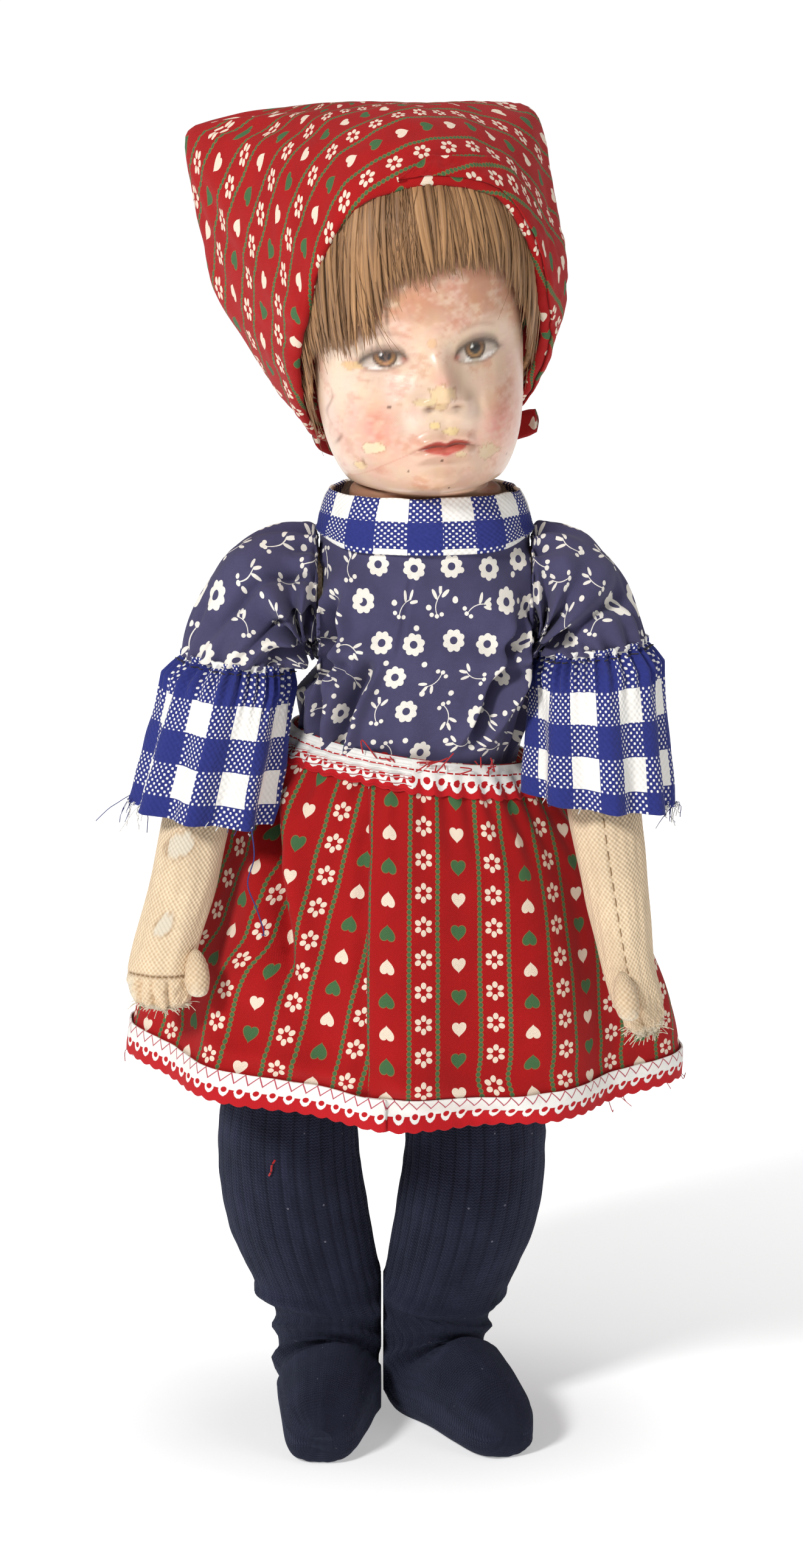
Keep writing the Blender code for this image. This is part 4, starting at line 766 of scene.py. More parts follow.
def frill_grid(side):
    """Gathered frill: ovals that widen below the sleeve's seam and wave more towards the edge."""
    out = SIDES[side]
    x, y, z, wide, _, deep, tilt = sleeve_rows(side)[-1]
    edge_out = 0.0450 if side == "right" else 0.0262
    edge_tilt = math.radians(82 if side == "right" else 96)
    step = np.concatenate([[-0.045, -0.030, -0.012], np.linspace(0, 1, 72) ** 1.15])[:, None]
    t = turns(300)
    drop = np.clip(step, 0, 1)
    bulge = 0.0032 * np.interp(drop, (0, 0.12, 1), (0, 1, 0)) * (1 + 0.5 * np.cos(t)) + 0.020 * np.maximum(-step, 0)
    pleat = np.cos(33 * t + 2.2 * np.sin(3 * t)) * bell(step, 0.22) * smooth(-0.08, 0.05, step)
    wave = 0.0033 * (0.2 + 0.8 * drop) * np.cos(8 * t + 0.9 * np.sin(t) + 0.4) + 0.0017 * pleat
    wave = wave + 0.0007 * drop * ripple(51 + out, 1.5 * np.cos(t), 1.5 * np.sin(t), 1.5 * step)
    lean = tilt + (edge_tilt - tilt) * drop
    size = (wide + (FRILL_FLARE - wide) * drop + bulge + wave) * np.cos(t)
    ring_x = armhole(side)[0] + out * (x + (edge_out - x) * drop + np.sin(lean) * size)
    ring_y = y - 0.024 * drop - (deep + (0.97 * FRILL_FLARE - deep) * drop + bulge + wave) * np.sin(t)
    ring_z = SHOULDER_Z + z - 2 * CLEAR - FRILL_LONG * step + np.cos(lean) * size
    return beside_body(np.stack([ring_x, ring_y, ring_z], 2), 3 * CLEAR), step


def leg_rows():
    """Sections down the leg and along the foot: sideways, forward, up, half width, half depth, pitch."""
    thigh, deep, knee, ankle, foot, arch = 0.0265, 0.0295, 0.02725, 0.0200, 0.0170, 0.01725
    calf, inner, sole = 0.5 * (knee + ankle), ankle + KNIT + 2 * CLEAR, KNIT + CLEAR - 0.0009
    return [(HIP_OUT, 0, HIP_Z + 0.985 * deep, 0.20 * thigh, 0.17 * deep, 0),
            (HIP_OUT, 0, HIP_Z + 0.85 * deep, 0.50 * thigh, 0.52 * deep, 0),
            (HIP_OUT, 0, HIP_Z + 0.50 * deep, 0.80 * thigh, 0.86 * deep, 0),
            (HIP_OUT, 0, HIP_Z, thigh, deep, 0),
            (HIP_OUT, 0, 0.86 * HIP_Z, 1.01 * thigh, deep, 0),
            (HIP_OUT, 0, 0.70 * HIP_Z, 0.93 * thigh, deep, 0),
            (0.0385, -0.001, 0.52 * HIP_Z, 0.98 * knee, 0.96 * deep, 0),
            (0.0345, -0.002, 0.365 * HIP_Z, knee, 0.93 * deep, 0),
            (calf + KNIT + 2 * CLEAR, -0.002, 0.235 * HIP_Z, calf, 0.82 * deep, 0),
            (inner, 0, 0.190 * HIP_Z, ankle, 0.5 * (0.82 * deep + 1.3 * arch), 8),
            (inner, 0, sole + 0.92 * arch, 1.06 * foot, 1.34 * arch, 45),
            (inner, 0.34 * TOE, sole + 0.95 * arch, foot, 0.98 * arch, 74),
            (inner, 0.62 * TOE, sole + 0.86 * arch, 0.90 * foot, 0.86 * arch, 88),
            (inner, 0.84 * TOE, sole + 0.72 * arch, 0.76 * foot, 0.72 * arch, 90),
            (inner, 0.96 * TOE, sole + 0.60 * arch, 0.50 * foot, 0.50 * arch, 90),
            (inner, TOE, sole + 0.55 * arch, 0.18 * foot, 0.18 * arch, 90)]


def leg_grid(side, grow, top, rows, cols, knit=None):
    """Surface of the leg and foot, grown outward, from a height down to the toe.

    Level ovals down the leg turn upright along the foot; knit gives the height of the stocking's ribs.
    """
    out = SIDES[side]
    turn = math.radians(27 if side == "left" else 2)
    shape = spline(leg_rows(), rows)
    shape = shape[np.argmax(shape[:, 2] < top):]
    x, ahead, up, wide, deep, pitch = shape.T[:, :, None]
    t = turns(cols)
    pitch = np.radians(pitch)
    swell = np.zeros((len(shape), cols)) + grow
    if knit:
        ribs = 30
        raised = knit * smooth(0.1, 0.9, np.cos(pitch)) * (0.35 + 0.65 * smooth(0.35, -0.2, np.sin(t) * out))
        swell += raised * (np.abs(np.cos(0.5 * ribs * t)) ** 0.6 - 0.6)
        slack = smooth(0.066, 0.050, up) * smooth(0.0, 0.5, np.cos(pitch))
        slack = slack + 0.5 * smooth(0.2, 0.9, np.sin(pitch)) * smooth(0.055, 0.03, ahead)
        crumple = np.sin(2 * math.pi * up / 0.0155 + 1.4 * np.sin(t + 0.6) + 0.8 * np.sin(2 * t + out))
        swell += 0.0026 * slack * (0.5 + 0.5 * crumple) ** 2
        swell += 0.0003 * ripple(61 + out, 1.3 * np.cos(t), 1.3 * np.sin(t), up / 0.03)
    boxy = 1 - 0.6 * np.sin(pitch) ** 2 * (np.cos(t) < 0)
    front = (deep + swell) * np.sign(np.cos(t)) * np.abs(np.cos(t)) ** boxy
    local_x = out * (x - leg_rows()[9][0]) + (wide + swell) * np.sin(t)
    local_y = -ahead * np.where(ahead > 0, 1 + grow / TOE, 1) - front * np.cos(pitch)
    heel_up = leg_rows()[9][2]
    yaw = out * turn * np.clip((heel_up - up) / (0.25 * heel_up) + 0.5, 0, 1)
    heel_x = LEG_X + out * leg_rows()[9][0]
    place_x = local_x * np.cos(yaw) - local_y * np.sin(yaw) + heel_x
    edge = np.where(up > HIP_Z - 0.042, CROTCH_WIDE / 2 + RUN, KNIT + 2 * CLEAR - grow)
    place_x = LEG_X + out * np.maximum(out * (place_x - LEG_X), edge)
    return np.stack([place_x, local_x * np.sin(yaw) + local_y * np.cos(yaw),
                     np.maximum(up + front * np.sin(pitch), CLEAR + KNIT - grow)], 2)


# ---------------------------------------------------------------- finishes

COLOUR = {"data_type": "RGBA", "out": 2}


def add_node(tree, kind, *feeds, out=0, **settings):
    """Adds one node and gives back one of its outputs.

    kind may carry an operation after a dot. feeds fill its inputs in order, or by name or number in a dict.
    """
    kind, _, work = kind.partition(".")
    made = tree.nodes.new("ShaderNode" + kind)
    if work:
        made.operation = work
    for key, value in settings.items():
        setattr(made, key, value)
    for key, value in feeds[0].items() if feeds and isinstance(feeds[0], dict) else enumerate(feeds):
        if isinstance(value, bpy.types.NodeSocket):
            tree.links.new(value, made.inputs[key])
        else:
            made.inputs[key].default_value = value
    return made.outputs[out]


def begin(name, sockets):
    """New material whose plain values sit on the shader's own sockets, and the function that adds its nodes."""
    made = bpy.data.materials.new(name)
    made.use_nodes = True
    for key, value in sockets.items():
        made.node_tree.nodes["Principled BSDF"].inputs[key].default_value = value
    return made, partial(add_node, made.node_tree)


def feed(made, socket, value):
    """Links a node's output to a socket of the material's shader."""
    made.node_tree.links.new(value, made.node_tree.nodes["Principled BSDF"].inputs[socket])


def close(made, colour, height, depth):
    """Leads a colour and the bump of a height (depth in millimetres) to the shader; gives back the material."""
    feed(made, "Base Color", colour)
    bump_of = {"Strength": 1.0, "Distance": depth / 1000, "Height": height}
    feed(made, "Normal", add_node(made.node_tree, "Bump", bump_of))
    return made


def tone(colour, share=1.0):
    """A colour made darker or lighter by a share, with alpha 1."""
    return (*(min(1.0, share * c) for c in colour), 1.0)


def weave(add, uv, pitch):
    """Height of a plain weave: the product of two sines, one along each thread direction."""
    beat = add("VectorMath.SINE", add("VectorMath.SCALE", {0: uv, "Scale": 2 * math.pi / pitch}))
    x, y = add("SeparateXYZ", beat).node.outputs[:2]
    return add("Math.MULTIPLY", x, y)


def cloth_map(add):
    """The UV map in millimetres and its two directions."""
    uv = add("UVMap", uv_map="mm")
    return uv, *add("SeparateXYZ", uv).node.outputs[:2]


def shade_of(maker):
    """The material that a function makes, made once."""
    return bpy.data.materials.get(maker.__name__) or maker(bpy.context.scene.doll_colours)


def printed_red_cotton(dyes):
    # Dress cotton, plain weave, printed: matt, colours sunk into the cloth, a little cloudy from washing.
    # Flower and heart columns 27.5 mm apart, motifs 12 mm apart, dots 1.9 mm apart.
    made, add = begin("printed_red_cotton", {"Roughness": 0.86, "Specular IOR Level": 0.22, "Sheen Weight": 0.05})
    uv, u, v = cloth_map(add)
    wide = add("Math.WRAP", u, STRIPE / 2, -STRIPE / 2)
    tall = add("Math.WRAP", v, MOTIF / 2, -MOTIF / 2)
    reach = add("VectorMath.LENGTH", add("CombineXYZ", wide, tall), out=1)
    turn = add("Math.PINGPONG", add("Math.ARCTAN2", wide, tall), math.pi / 6)
    along = add("Math.MULTIPLY_ADD", reach, add("Math.COSINE", turn), -2.45)
    aside = add("Math.MULTIPLY", add("Math.MULTIPLY", reach, add("Math.SINE", turn)), 1.22)
    petal = add("VectorMath.LENGTH", add("CombineXYZ", along, aside), out=1)
    petal = add("Math.LESS_THAN", petal, 1.22)
    off = add("Math.SUBTRACT", add("Math.ABSOLUTE", wide), 5.5)
    beat = add("Math.WRAP", v, 0.95, -0.95)
    dot = add("VectorMath.LENGTH", add("CombineXYZ", off, beat), out=1)
    far = add("Math.WRAP", add("Math.ADD", u, STRIPE / 2), STRIPE / 2, -STRIPE / 2)
    column = add("Math.FLOOR", add("Math.DIVIDE", u, STRIPE))
    flip = add("Math.MULTIPLY_ADD", add("Math.PINGPONG", column, 1.0), -2.0, 1.0)
    high = add("Math.ADD", v, MOTIF / 4)
    up = add("Math.MULTIPLY", add("Math.WRAP", high, MOTIF / 2, -MOTIF / 2), flip)
    lobe = add("Math.DIVIDE", add("Math.ABSOLUTE", far), 2.75)
    crest = add("Math.MULTIPLY", add("Math.SQRT", lobe), -0.75)
    rise = add("Math.MULTIPLY_ADD", up, 0.42, crest)
    heart = add("VectorMath.LENGTH", add("CombineXYZ", lobe, rise), out=1)
    pick = add("Math.DIVIDE", add("Math.ADD", high, MOTIF / 2), MOTIF)
    pick = add("Math.PINGPONG", add("Math.FLOOR", pick), 1.0)
    cloud = add("TexNoise", {"Vector": uv, "Scale": 0.055, "Detail": 5.0, "Roughness": 0.6})
    ground = add("Mix", {0: cloud, 6: tone(dyes.red, 0.78), 7: tone(dyes.red, 1.18)}, **COLOUR)
    paint = add("Mix", {0: petal, 6: ground, 7: tone(dyes.cream)}, **COLOUR)
    for inner, code in ((0.98, tone(dyes.olive)), (0.72, tone(dyes.green))):
        paint = add("Mix", {0: add("Math.LESS_THAN", dot, inner), 6: paint, 7: code}, **COLOUR)
    leaf = add("Mix", {0: pick, 6: tone(dyes.cream), 7: tone(dyes.green)}, **COLOUR)
    rim = add("Math.MULTIPLY", add("Math.LESS_THAN", heart, 1.10), pick)
    paint = add("Mix", {0: rim, 6: paint, 7: tone(dyes.olive)}, **COLOUR)
    paint = add("Mix", {0: add("Math.LESS_THAN", heart, 1.0), 6: paint, 7: leaf}, **COLOUR)
    return close(made, paint, weave(add, uv, 0.7), 0.05)


def navy_calico(dyes):
    # Thin printed calico: matt dusty navy with ivory flowers and sprigs, about one to a 14 mm square.
    made, add = begin("navy_calico", {"Roughness": 0.88, "Specular IOR Level": 0.2, "Sheen Weight": 0.08})
    uv, u, v = cloth_map(add)
    row = add("Math.PINGPONG", add("Math.FLOOR", add("Math.DIVIDE", v, SPRIG_TALL)), 1.0)
    brick = add("CombineXYZ", add("Math.MULTIPLY_ADD", row, 7.2, u), v)
    square = add("VectorMath.DIVIDE", brick, (SPRIG_WIDE, SPRIG_TALL, 1.0))
    cell = add("VectorMath.FLOOR", square)
    chance = add("TexWhiteNoise", cell, out=1, noise_dimensions="2D")
    first, _, third = add("SeparateColor", chance).node.outputs[:3]
    spot = add("VectorMath.MULTIPLY_ADD", add("VectorMath.FRACTION", square),
               (SPRIG_WIDE, SPRIG_TALL, 0.0), (-SPRIG_WIDE / 2, -SPRIG_TALL / 2, 0.0))
    shift = add("VectorMath.MULTIPLY_ADD", chance, (3.6, 3.4, 0.0), (-1.8, -1.7, 0.0))
    spot = add("VectorMath.SUBTRACT", spot, shift)
    spot = add("VectorRotate", {"Vector": spot, "Angle": add("Math.MULTIPLY", third, 6.283)},
               rotation_type="Z_AXIS")
    reach = add("VectorMath.LENGTH", spot, out=1)
    spot = add("VectorMath.SCALE", {0: spot, "Scale": 1.18})
    x, y = add("SeparateXYZ", spot).node.outputs[:2]
    lobes = add("Math.ABSOLUTE", add("Math.COSINE", add("Math.MULTIPLY", add("Math.ARCTAN2", y, x), 4.0)))
    rim = add("Math.MULTIPLY_ADD", lobes, 0.85, 3.65)
    flower = add("Math.MULTIPLY", add("Math.LESS_THAN", reach, rim), add("Math.GREATER_THAN", reach, 1.5))
    bend = add("Math.MULTIPLY_ADD", add("Math.MULTIPLY", x, x), -0.07, y)
    line = add("Math.LESS_THAN", add("Math.ABSOLUTE", add("Math.ADD", bend, 0.5)), 0.21)
    line = add("Math.MULTIPLY", line, add("Math.LESS_THAN", add("Math.ABSOLUTE", x), 5.0))
    near = 9.0
    for berry in ((5.2, 1.0, 0), (3.9, 3.0, 0), (5.0, -1.5, 0)):
        near = add("Math.MINIMUM", add("VectorMath.DISTANCE", spot, berry, out=1), near)
    berries = add("Math.LESS_THAN", near, 1.0)
    near = 9.0
    for place, angle in (((-4.9, 3.0, 0), 2.4), ((-6.0, 0.4, 0), 3.3), ((-3.6, -1.9, 0), 0.8)):
        leaf = add("Mapping", {"Vector": spot, "Location": place, "Rotation": (0, 0, angle), "Scale": (2.1, 0.75, 1)},
                   vector_type="TEXTURE")
        near = add("Math.MINIMUM", add("VectorMath.LENGTH", leaf, out=1), near)
    sprig = add("Math.MAXIMUM", add("Math.MAXIMUM", line, berries), add("Math.LESS_THAN", near, 1.0))
    kind = add("Math.GREATER_THAN", first, 0.50)
    motif = add("Mix", {0: kind, 2: flower, 3: sprig})
    dust = add("VectorMath.DIVIDE", add("VectorMath.ADD", uv, (5.0, 3.0, 0.0)), (13.0, 11.0, 1.0))
    luck = add("TexWhiteNoise", add("VectorMath.FLOOR", dust), out=1, noise_dimensions="2D")
    fleck = add("VectorMath.SUBTRACT", add("VectorMath.FRACTION", dust),
                add("VectorMath.MULTIPLY_ADD", luck, (0.5, 0.5, 0.0), (0.25, 0.25, 0.0)))
    fleck = add("VectorMath.LENGTH", add("VectorMath.MULTIPLY", fleck, (13.0, 11.0, 0.0)), out=1)
    size = add("Math.MULTIPLY", add("Math.GREATER_THAN", add("SeparateColor", luck, out=2), 0.45), 1.1)
    motif = add("Math.MAXIMUM", motif, add("Math.LESS_THAN", fleck, size))
    cloud = add("TexNoise", {"Vector": uv, "Scale": 0.09, "Detail": 6.0, "Roughness": 0.65})
    ground = add("Mix", {0: cloud, 6: tone(dyes.navy, 0.72), 7: tone(dyes.navy, 1.25)}, **COLOUR)
    paint = add("Mix", {0: motif, 6: ground, 7: tone(dyes.ivory)}, **COLOUR)
    return close(made, paint, weave(add, uv, 0.7), 0.05)


def blue_gingham(dyes):
    # Coarse gingham: dyed and white yarns cross, so half-tone squares show single threads and look more blue
    # than white. Squares 12.5 mm; threads of 0.5 mm, drawn at 1.3 mm so that they show.
    made, add = begin("blue_gingham", {"Roughness": 0.88, "Specular IOR Level": 0.2, "Sheen Weight": 0.08})
    uv, u, v = cloth_map(add)
    warp = add("Math.GREATER_THAN", add("Math.WRAP", u, CHECK, -CHECK), 0.0)
    weft = add("Math.GREATER_THAN", add("Math.WRAP", v, CHECK, -CHECK), 0.0)
    limit = add("Math.MAXIMUM", add("Math.MULTIPLY_ADD", weave(add, uv, 2.6), 0.95, 0.60), 0.02)
    blue = add("Math.GREATER_THAN", add("Math.ADD", warp, weft), limit)
    cloud = add("TexNoise", {"Vector": uv, "Scale": 0.8, "Detail": 3.0})
    dark = add("Mix", {0: cloud, 6: tone(dyes.blue, 0.75), 7: tone(dyes.blue, 1.3)}, **COLOUR)
    pale = add("Mix", {0: cloud, 6: tone(dyes.white, 0.92), 7: tone(dyes.white, 1.04)}, **COLOUR)
    paint = add("Mix", {0: blue, 6: pale, 7: dark}, **COLOUR)
    return close(made, paint, weave(add, uv, 2.6), 0.12)


def unbleached_muslin(dyes):
    # Unbleached muslin over stuffing: coarse slubby weave, skin tinted, soiled and rubbed. Threads about
    # 0.45 mm, drawn at 1.1 mm so that they show. Paint holds frayed tips (red), bare patches (green), soil (blue).
    made, add = begin("unbleached_muslin", {"Roughness": 0.9, "Specular IOR Level": 0.18, "Sheen Weight": 0.12})
    uv = add("UVMap", uv_map="mm")
    worn, bare, soil = add("SeparateColor", add("Attribute", attribute_name="paint")).node.outputs[:3]
    slub = add("TexNoise", {"Vector": add("VectorMath.MULTIPLY", uv, (0.9, 0.35, 0.0)), "Detail": 3.0,
                            "Scale": 1.0})
    cloud = add("TexNoise", {"Vector": uv, "Scale": 0.06, "Detail": 6.0, "Roughness": 0.6})
    mixed = add("MapRange", {0: add("Math.ADD", cloud, slub), 1: 0.7, 2: 1.3, 3: 0.0, 4: 1.0})
    paint = add("Mix", {0: mixed, 6: tone(dyes.muslin, 0.88), 7: tone(dyes.muslin, 1.12)}, **COLOUR)
    # Painted shade: the colour darkens towards a deeper tan in the dips of the weave, where the bump sinks.
    thread = add("Math.MULTIPLY_ADD", weave(add, uv, 2.2), 0.36, 0.74)
    paint = add("Mix", {0: thread, 6: tone(linear("B8946B")), 7: paint}, **COLOUR)
    paint = add("Mix", {0: add("Math.MULTIPLY", soil, 0.55), 6: paint, 7: tone(linear("8C6743"))}, **COLOUR)
    paint = add("Mix", {0: bare, 6: paint, 7: tone(linear("DBD0BC"))}, **COLOUR)
    paint = add("Mix", {0: worn, 6: paint, 7: tone(linear("E3D6BE"))}, **COLOUR)
    fluff = add("Math.MULTIPLY", add("TexNoise", {"Vector": uv, "Scale": 1.2, "Detail": 5.0}), worn)
    rough = add("Math.ADD", add("Math.MULTIPLY_ADD", slub, 0.6, weave(add, uv, 2.2)),
                add("Math.MULTIPLY", fluff, 5.0))
    return close(made, paint, rough, 0.16)


def oil_painted_cloth(dyes):
    # Pressed cloth head, sized and painted in oils: satin, worn through to older coats, fine brush marks.
    made, add = begin("oil_painted_cloth", {"Specular IOR Level": 0.45, "Coat Weight": 0.22, "Coat Roughness": 0.22})
    skin = add("Attribute", attribute_name="paint").node
    place = add("TexCoord", out=3)
    cloud = add("TexNoise", {"Vector": place, "Scale": 110.0, "Detail": 7.0, "Roughness": 0.65})
    brush = add("TexNoise", {"Vector": add("VectorMath.MULTIPLY", place, (260.0, 260.0, 900.0)), "Scale": 1.0,
                             "Detail": 4.0})
    mottle = add("Mix", {0: 0.24, 6: skin.outputs[0], 7: cloud.node.outputs[1]}, **COLOUR, blend_type="SOFT_LIGHT")
    flake = add("MapRange", {0: cloud, 1: 0.60, 2: 0.74, 3: 0.0, 4: 0.30})
    paint = add("Mix", {0: flake, 6: mottle, 7: tone(linear("D9A084"))}, **COLOUR)
    rough = add("Math.MULTIPLY_ADD", skin.outputs[3], 0.30, add("Math.MULTIPLY_ADD", cloud, 0.25, 0.24))
    feed(made, "Roughness", rough)
    height = add("Math.ADD", add("Math.MULTIPLY", brush, 0.5), add("Math.MULTIPLY", flake, -1.2))
    return close(made, paint, height, 0.13)


def mohair_wig(dyes):
    # Mohair, dark blond, dry: strands of mixed tone that run along each lock.
    made, add = begin("mohair_wig", {"Roughness": 0.48, "Specular IOR Level": 0.4, "Sheen Weight": 0.1})
    uv = add("UVMap", uv_map="mm")
    streak = add("TexNoise", {"Vector": add("VectorMath.MULTIPLY", uv, (1.3, 0.035, 0.0)), "Scale": 1.0,
                              "Detail": 5.0, "Roughness": 0.7})
    lot = add("TexNoise", {"Vector": add("VectorMath.MULTIPLY", uv, (0.14, 0.01, 0.0)), "Scale": 1.0})
    mixed = add("Math.ADD", add("Math.MULTIPLY", streak, 0.9), add("Math.MULTIPLY", lot, 0.9))
    share = add("MapRange", {0: mixed, 1: 0.62, 2: 1.14, 3: 0.0, 4: 1.0})
    paint = add("Mix", {0: share, 6: tone(dyes.hair_dark), 7: tone(dyes.hair_light)}, **COLOUR)
    return close(made, paint, streak, 0.25)


def edging(dyes, name, drop, ring, hole_size, band, stitch, zigzag):
    """Embroidered cotton edging: white band, eyelets every 6.6 mm, a red scalloped edge and its stitching."""
    # Close machine embroidery: the red satin stitch is a little glossier and raised above the white cotton.
    made, add = begin(name, {"Roughness": 0.8, "Specular IOR Level": 0.25, "Sheen Weight": 0.05})
    uv, u, v = cloth_map(add)
    wide = add("Math.WRAP", u, EYELET / 2, -EYELET / 2)
    tall = add("Math.SUBTRACT", v, drop)
    reach = add("VectorMath.LENGTH", add("CombineXYZ", wide, tall), out=1)
    hole = add("VectorMath.LENGTH", add("CombineXYZ", wide, add("Math.MULTIPLY", tall, 1.25)), out=1)
    frayed = add("TexNoise", {"Vector": add("VectorMath.MULTIPLY", uv, (3.0, 0.5, 0.0)), "Scale": 1.0, "Detail": 2.0})
    reach = add("Math.MULTIPLY_ADD", frayed, 0.7, reach)
    below = add("Math.MULTIPLY", add("Math.GREATER_THAN", v, drop - 0.2),
                add("Math.GREATER_THAN", reach, ring + 0.35))
    red = add("Math.MAXIMUM", below, add("Math.LESS_THAN", hole, hole_size))
    cloud = add("TexNoise", {"Vector": uv, "Scale": 0.5, "Detail": 3.0})
    pale = add("Mix", {0: cloud, 6: tone(dyes.white, 0.88), 7: tone(dyes.white, 1.03)}, **COLOUR)
    paint = add("Mix", {0: red, 6: pale, 7: tone(dyes.trim_red)}, **COLOUR)
    dash = add("Math.LESS_THAN", add("Math.ABSOLUTE", add("Math.SUBTRACT", v, band)), stitch)
    dash = add("Math.MULTIPLY", dash, add("Math.LESS_THAN", add("Math.WRAP", u, 1.6, -1.6), 0.85))
    peak = add("Math.MULTIPLY_ADD", add("Math.PINGPONG", u, 2.9), 1.2, 0.1)
    seam = add("Math.LESS_THAN", add("Math.ABSOLUTE", add("Math.SUBTRACT", v, peak)), zigzag)
    paint = add("Mix", {0: dash, 6: paint, 7: tone(dyes.trim_red)}, **COLOUR)
    paint = add("Mix", {0: seam, 6: paint, 7: tone(dyes.pink)}, **COLOUR)
    raised = add("Math.ADD", add("Math.MAXIMUM", below, seam), add("Math.MULTIPLY", frayed, 0.5))
    return close(made, paint, raised, 0.3)


def waist_edging(dyes):
    # Cotton edging at the waist: one row of red running stitch, no zigzag.
    return edging(dyes, "waist_edging", 6.9, 2.8, 1.5, 3.6, 0.28, -1.0)


def hem_edging(dyes):
    # Cotton edging at the hem, sewn on with a pink zigzag.
    return edging(dyes, "hem_edging", 6.3, 2.2, 1.25, -5.0, 0.1, 0.36)


def ribbed_wool(dyes):
    # Machine-knitted wool, ribbed: deep navy, dull and fuzzy, with lint, and painted shade in the grooves between the
    # ribs. Stitches 1.5 mm wide.
    made, add = begin("ribbed_wool", {"Roughness": 0.95, "Specular IOR Level": 0.12, "Sheen Weight": 0.55,
                                      "Sheen Roughness": 0.6, "Sheen Tint": tone(linear("5A6178"))})
    uv, u, v = cloth_map(add)
    leg = add("Math.PINGPONG", u, 0.75)
    slant = add("Math.MULTIPLY_ADD", leg, 0.9, v)
    loop = add("Math.SINE", add("Math.MULTIPLY", slant, 2 * math.pi / 1.3))
    wale = add("Math.SINE", add("Math.MULTIPLY", u, 2 * math.pi / 1.5))
    fuzz = add("TexNoise", {"Vector": uv, "Scale": 1.1, "Detail": 6.0, "Roughness": 0.75})
    cloud = add("TexNoise", {"Vector": uv, "Scale": 0.05, "Detail": 4.0})
    mixed = add("Math.ADD", add("Math.MULTIPLY", fuzz, 0.6), add("Math.MULTIPLY", cloud, 0.6))
    share = add("MapRange", {0: mixed, 1: 0.35, 2: 0.85, 3: 0.0, 4: 1.0})
    # Painted shade: the colour darkens in the grooves between the ribs, most on the leg, fading out at the ankle.
    rib = add("Math.ABSOLUTE", add("Math.COSINE", add("Math.MULTIPLY", u, math.pi / 5.5)))
    ankle = add("MapRange", {0: v, 1: 105.0, 2: 130.0, 3: 0.35, 4: 1.0})
    share = add("Math.MULTIPLY", share, add("MapRange", {0: rib, 1: 0.05, 2: 0.55, 3: ankle, 4: 1.0}))
    paint = add("Mix", {0: share, 6: tone(dyes.knit, 0.28), 7: tone(dyes.knit, 2.3)}, **COLOUR)
    speck = add("TexVoronoi", {"Vector": uv, "Scale": 0.11, "Randomness": 1.0})
    lint = add("Math.LESS_THAN", speck, 0.05)
    paint = add("Mix", {0: add("Math.MULTIPLY", lint, 0.5), 6: paint, 7: tone(linear("8C8A96"))}, **COLOUR)
    height = add("Math.ADD", add("Math.MULTIPLY_ADD", wale, 0.5, loop), add("Math.MULTIPLY", fuzz, 3.0))
    return close(made, paint, height, 0.16)


def thread_of(name, colour):
    """Twisted sewing thread or loose yarn of one dye: twist drawn as a fine wave along it."""
    # Mercerised cotton: soft shine along the twist, and the colour painted lighter on the ridges of the twist and
    # darker between them, as painted light and shade.
    made = bpy.data.materials.get(name)
    if made:
        return made
    made, add = begin(name, {"Roughness": 0.7, "Specular IOR Level": 0.3, "Sheen Weight": 0.2})
    _, u, v = cloth_map(add)
    twist = add("Math.SINE", add("Math.MULTIPLY_ADD", v, 9.0, add("Math.MULTIPLY", u, 2.5)))
    # Painted light and shade: the twist wave that raises the thread also makes its colour lighter on the ridges and
    # darker between them.
    share = add("Math.MULTIPLY_ADD", twist, 0.35, 0.5)
    return close(made, add("Mix", {0: share, 6: tone(colour, 0.7), 7: tone(colour, 1.2)}, **COLOUR), twist, 0.05)


def nickel_steel(dyes):
    # Nickel-plated steel wire and sheet: bright, finely rubbed, dulled in spots.
    made, add = begin("nickel_steel", {"Metallic": 1.0})
    spot = add("TexNoise", {"Vector": add("TexCoord", out=3), "Scale": 900.0, "Detail": 4.0})
    rough = add("Math.MULTIPLY_ADD", spot, 0.25, 0.14)
    feed(made, "Roughness", rough)
    paint = add("Mix", {0: spot, 6: tone(linear("8E8C8A")), 7: tone(linear("D5D5D6"))}, **COLOUR)
    return close(made, paint, spot, 0.02)


def pressed_board(dyes):
    # Pressed grey board of the joint discs: matt, with short fibres.
    made, add = begin("pressed_board", {"Roughness": 0.92, "Specular IOR Level": 0.2})
    place = add("TexCoord", out=3)
    fibre = add("TexNoise", {"Vector": place, "Scale": 1400.0, "Detail": 5.0, "Distortion": 1.5})
    paint = add("Mix", {0: fibre, 6: tone(linear("6B5742")), 7: tone(linear("A48B6B"))}, **COLOUR)
    return close(made, paint, fibre, 0.06)


def white_paper(dyes):
    # Seamless background paper: matt white with a faint tooth. It glows by itself, as painted light, weakly near the
    # doll and strongly away from it.
    made, add = begin("white_paper", {"Roughness": 0.95, "Specular IOR Level": 0.1, "Emission Color": (1, 1, 1, 1)})
    place = add("TexCoord", out=3)
    far = add("VectorMath.LENGTH", place, out=1)
    glow = add("MapRange", {0: far, 1: 0.1, 2: 1.2, 3: 0.38, 4: 0.93})
    feed(made, "Emission Strength", glow)
    tooth = add("TexNoise", {"Vector": place, "Scale": 300.0, "Detail": 2.0})
    paint = add("Mix", {0: tooth, 6: tone(linear("F8F8F8")), 7: tone(linear("FCFCFC"))}, **COLOUR)
    return close(made, paint, tooth, 0.02)


# ---------------------------------------------------------------- operators

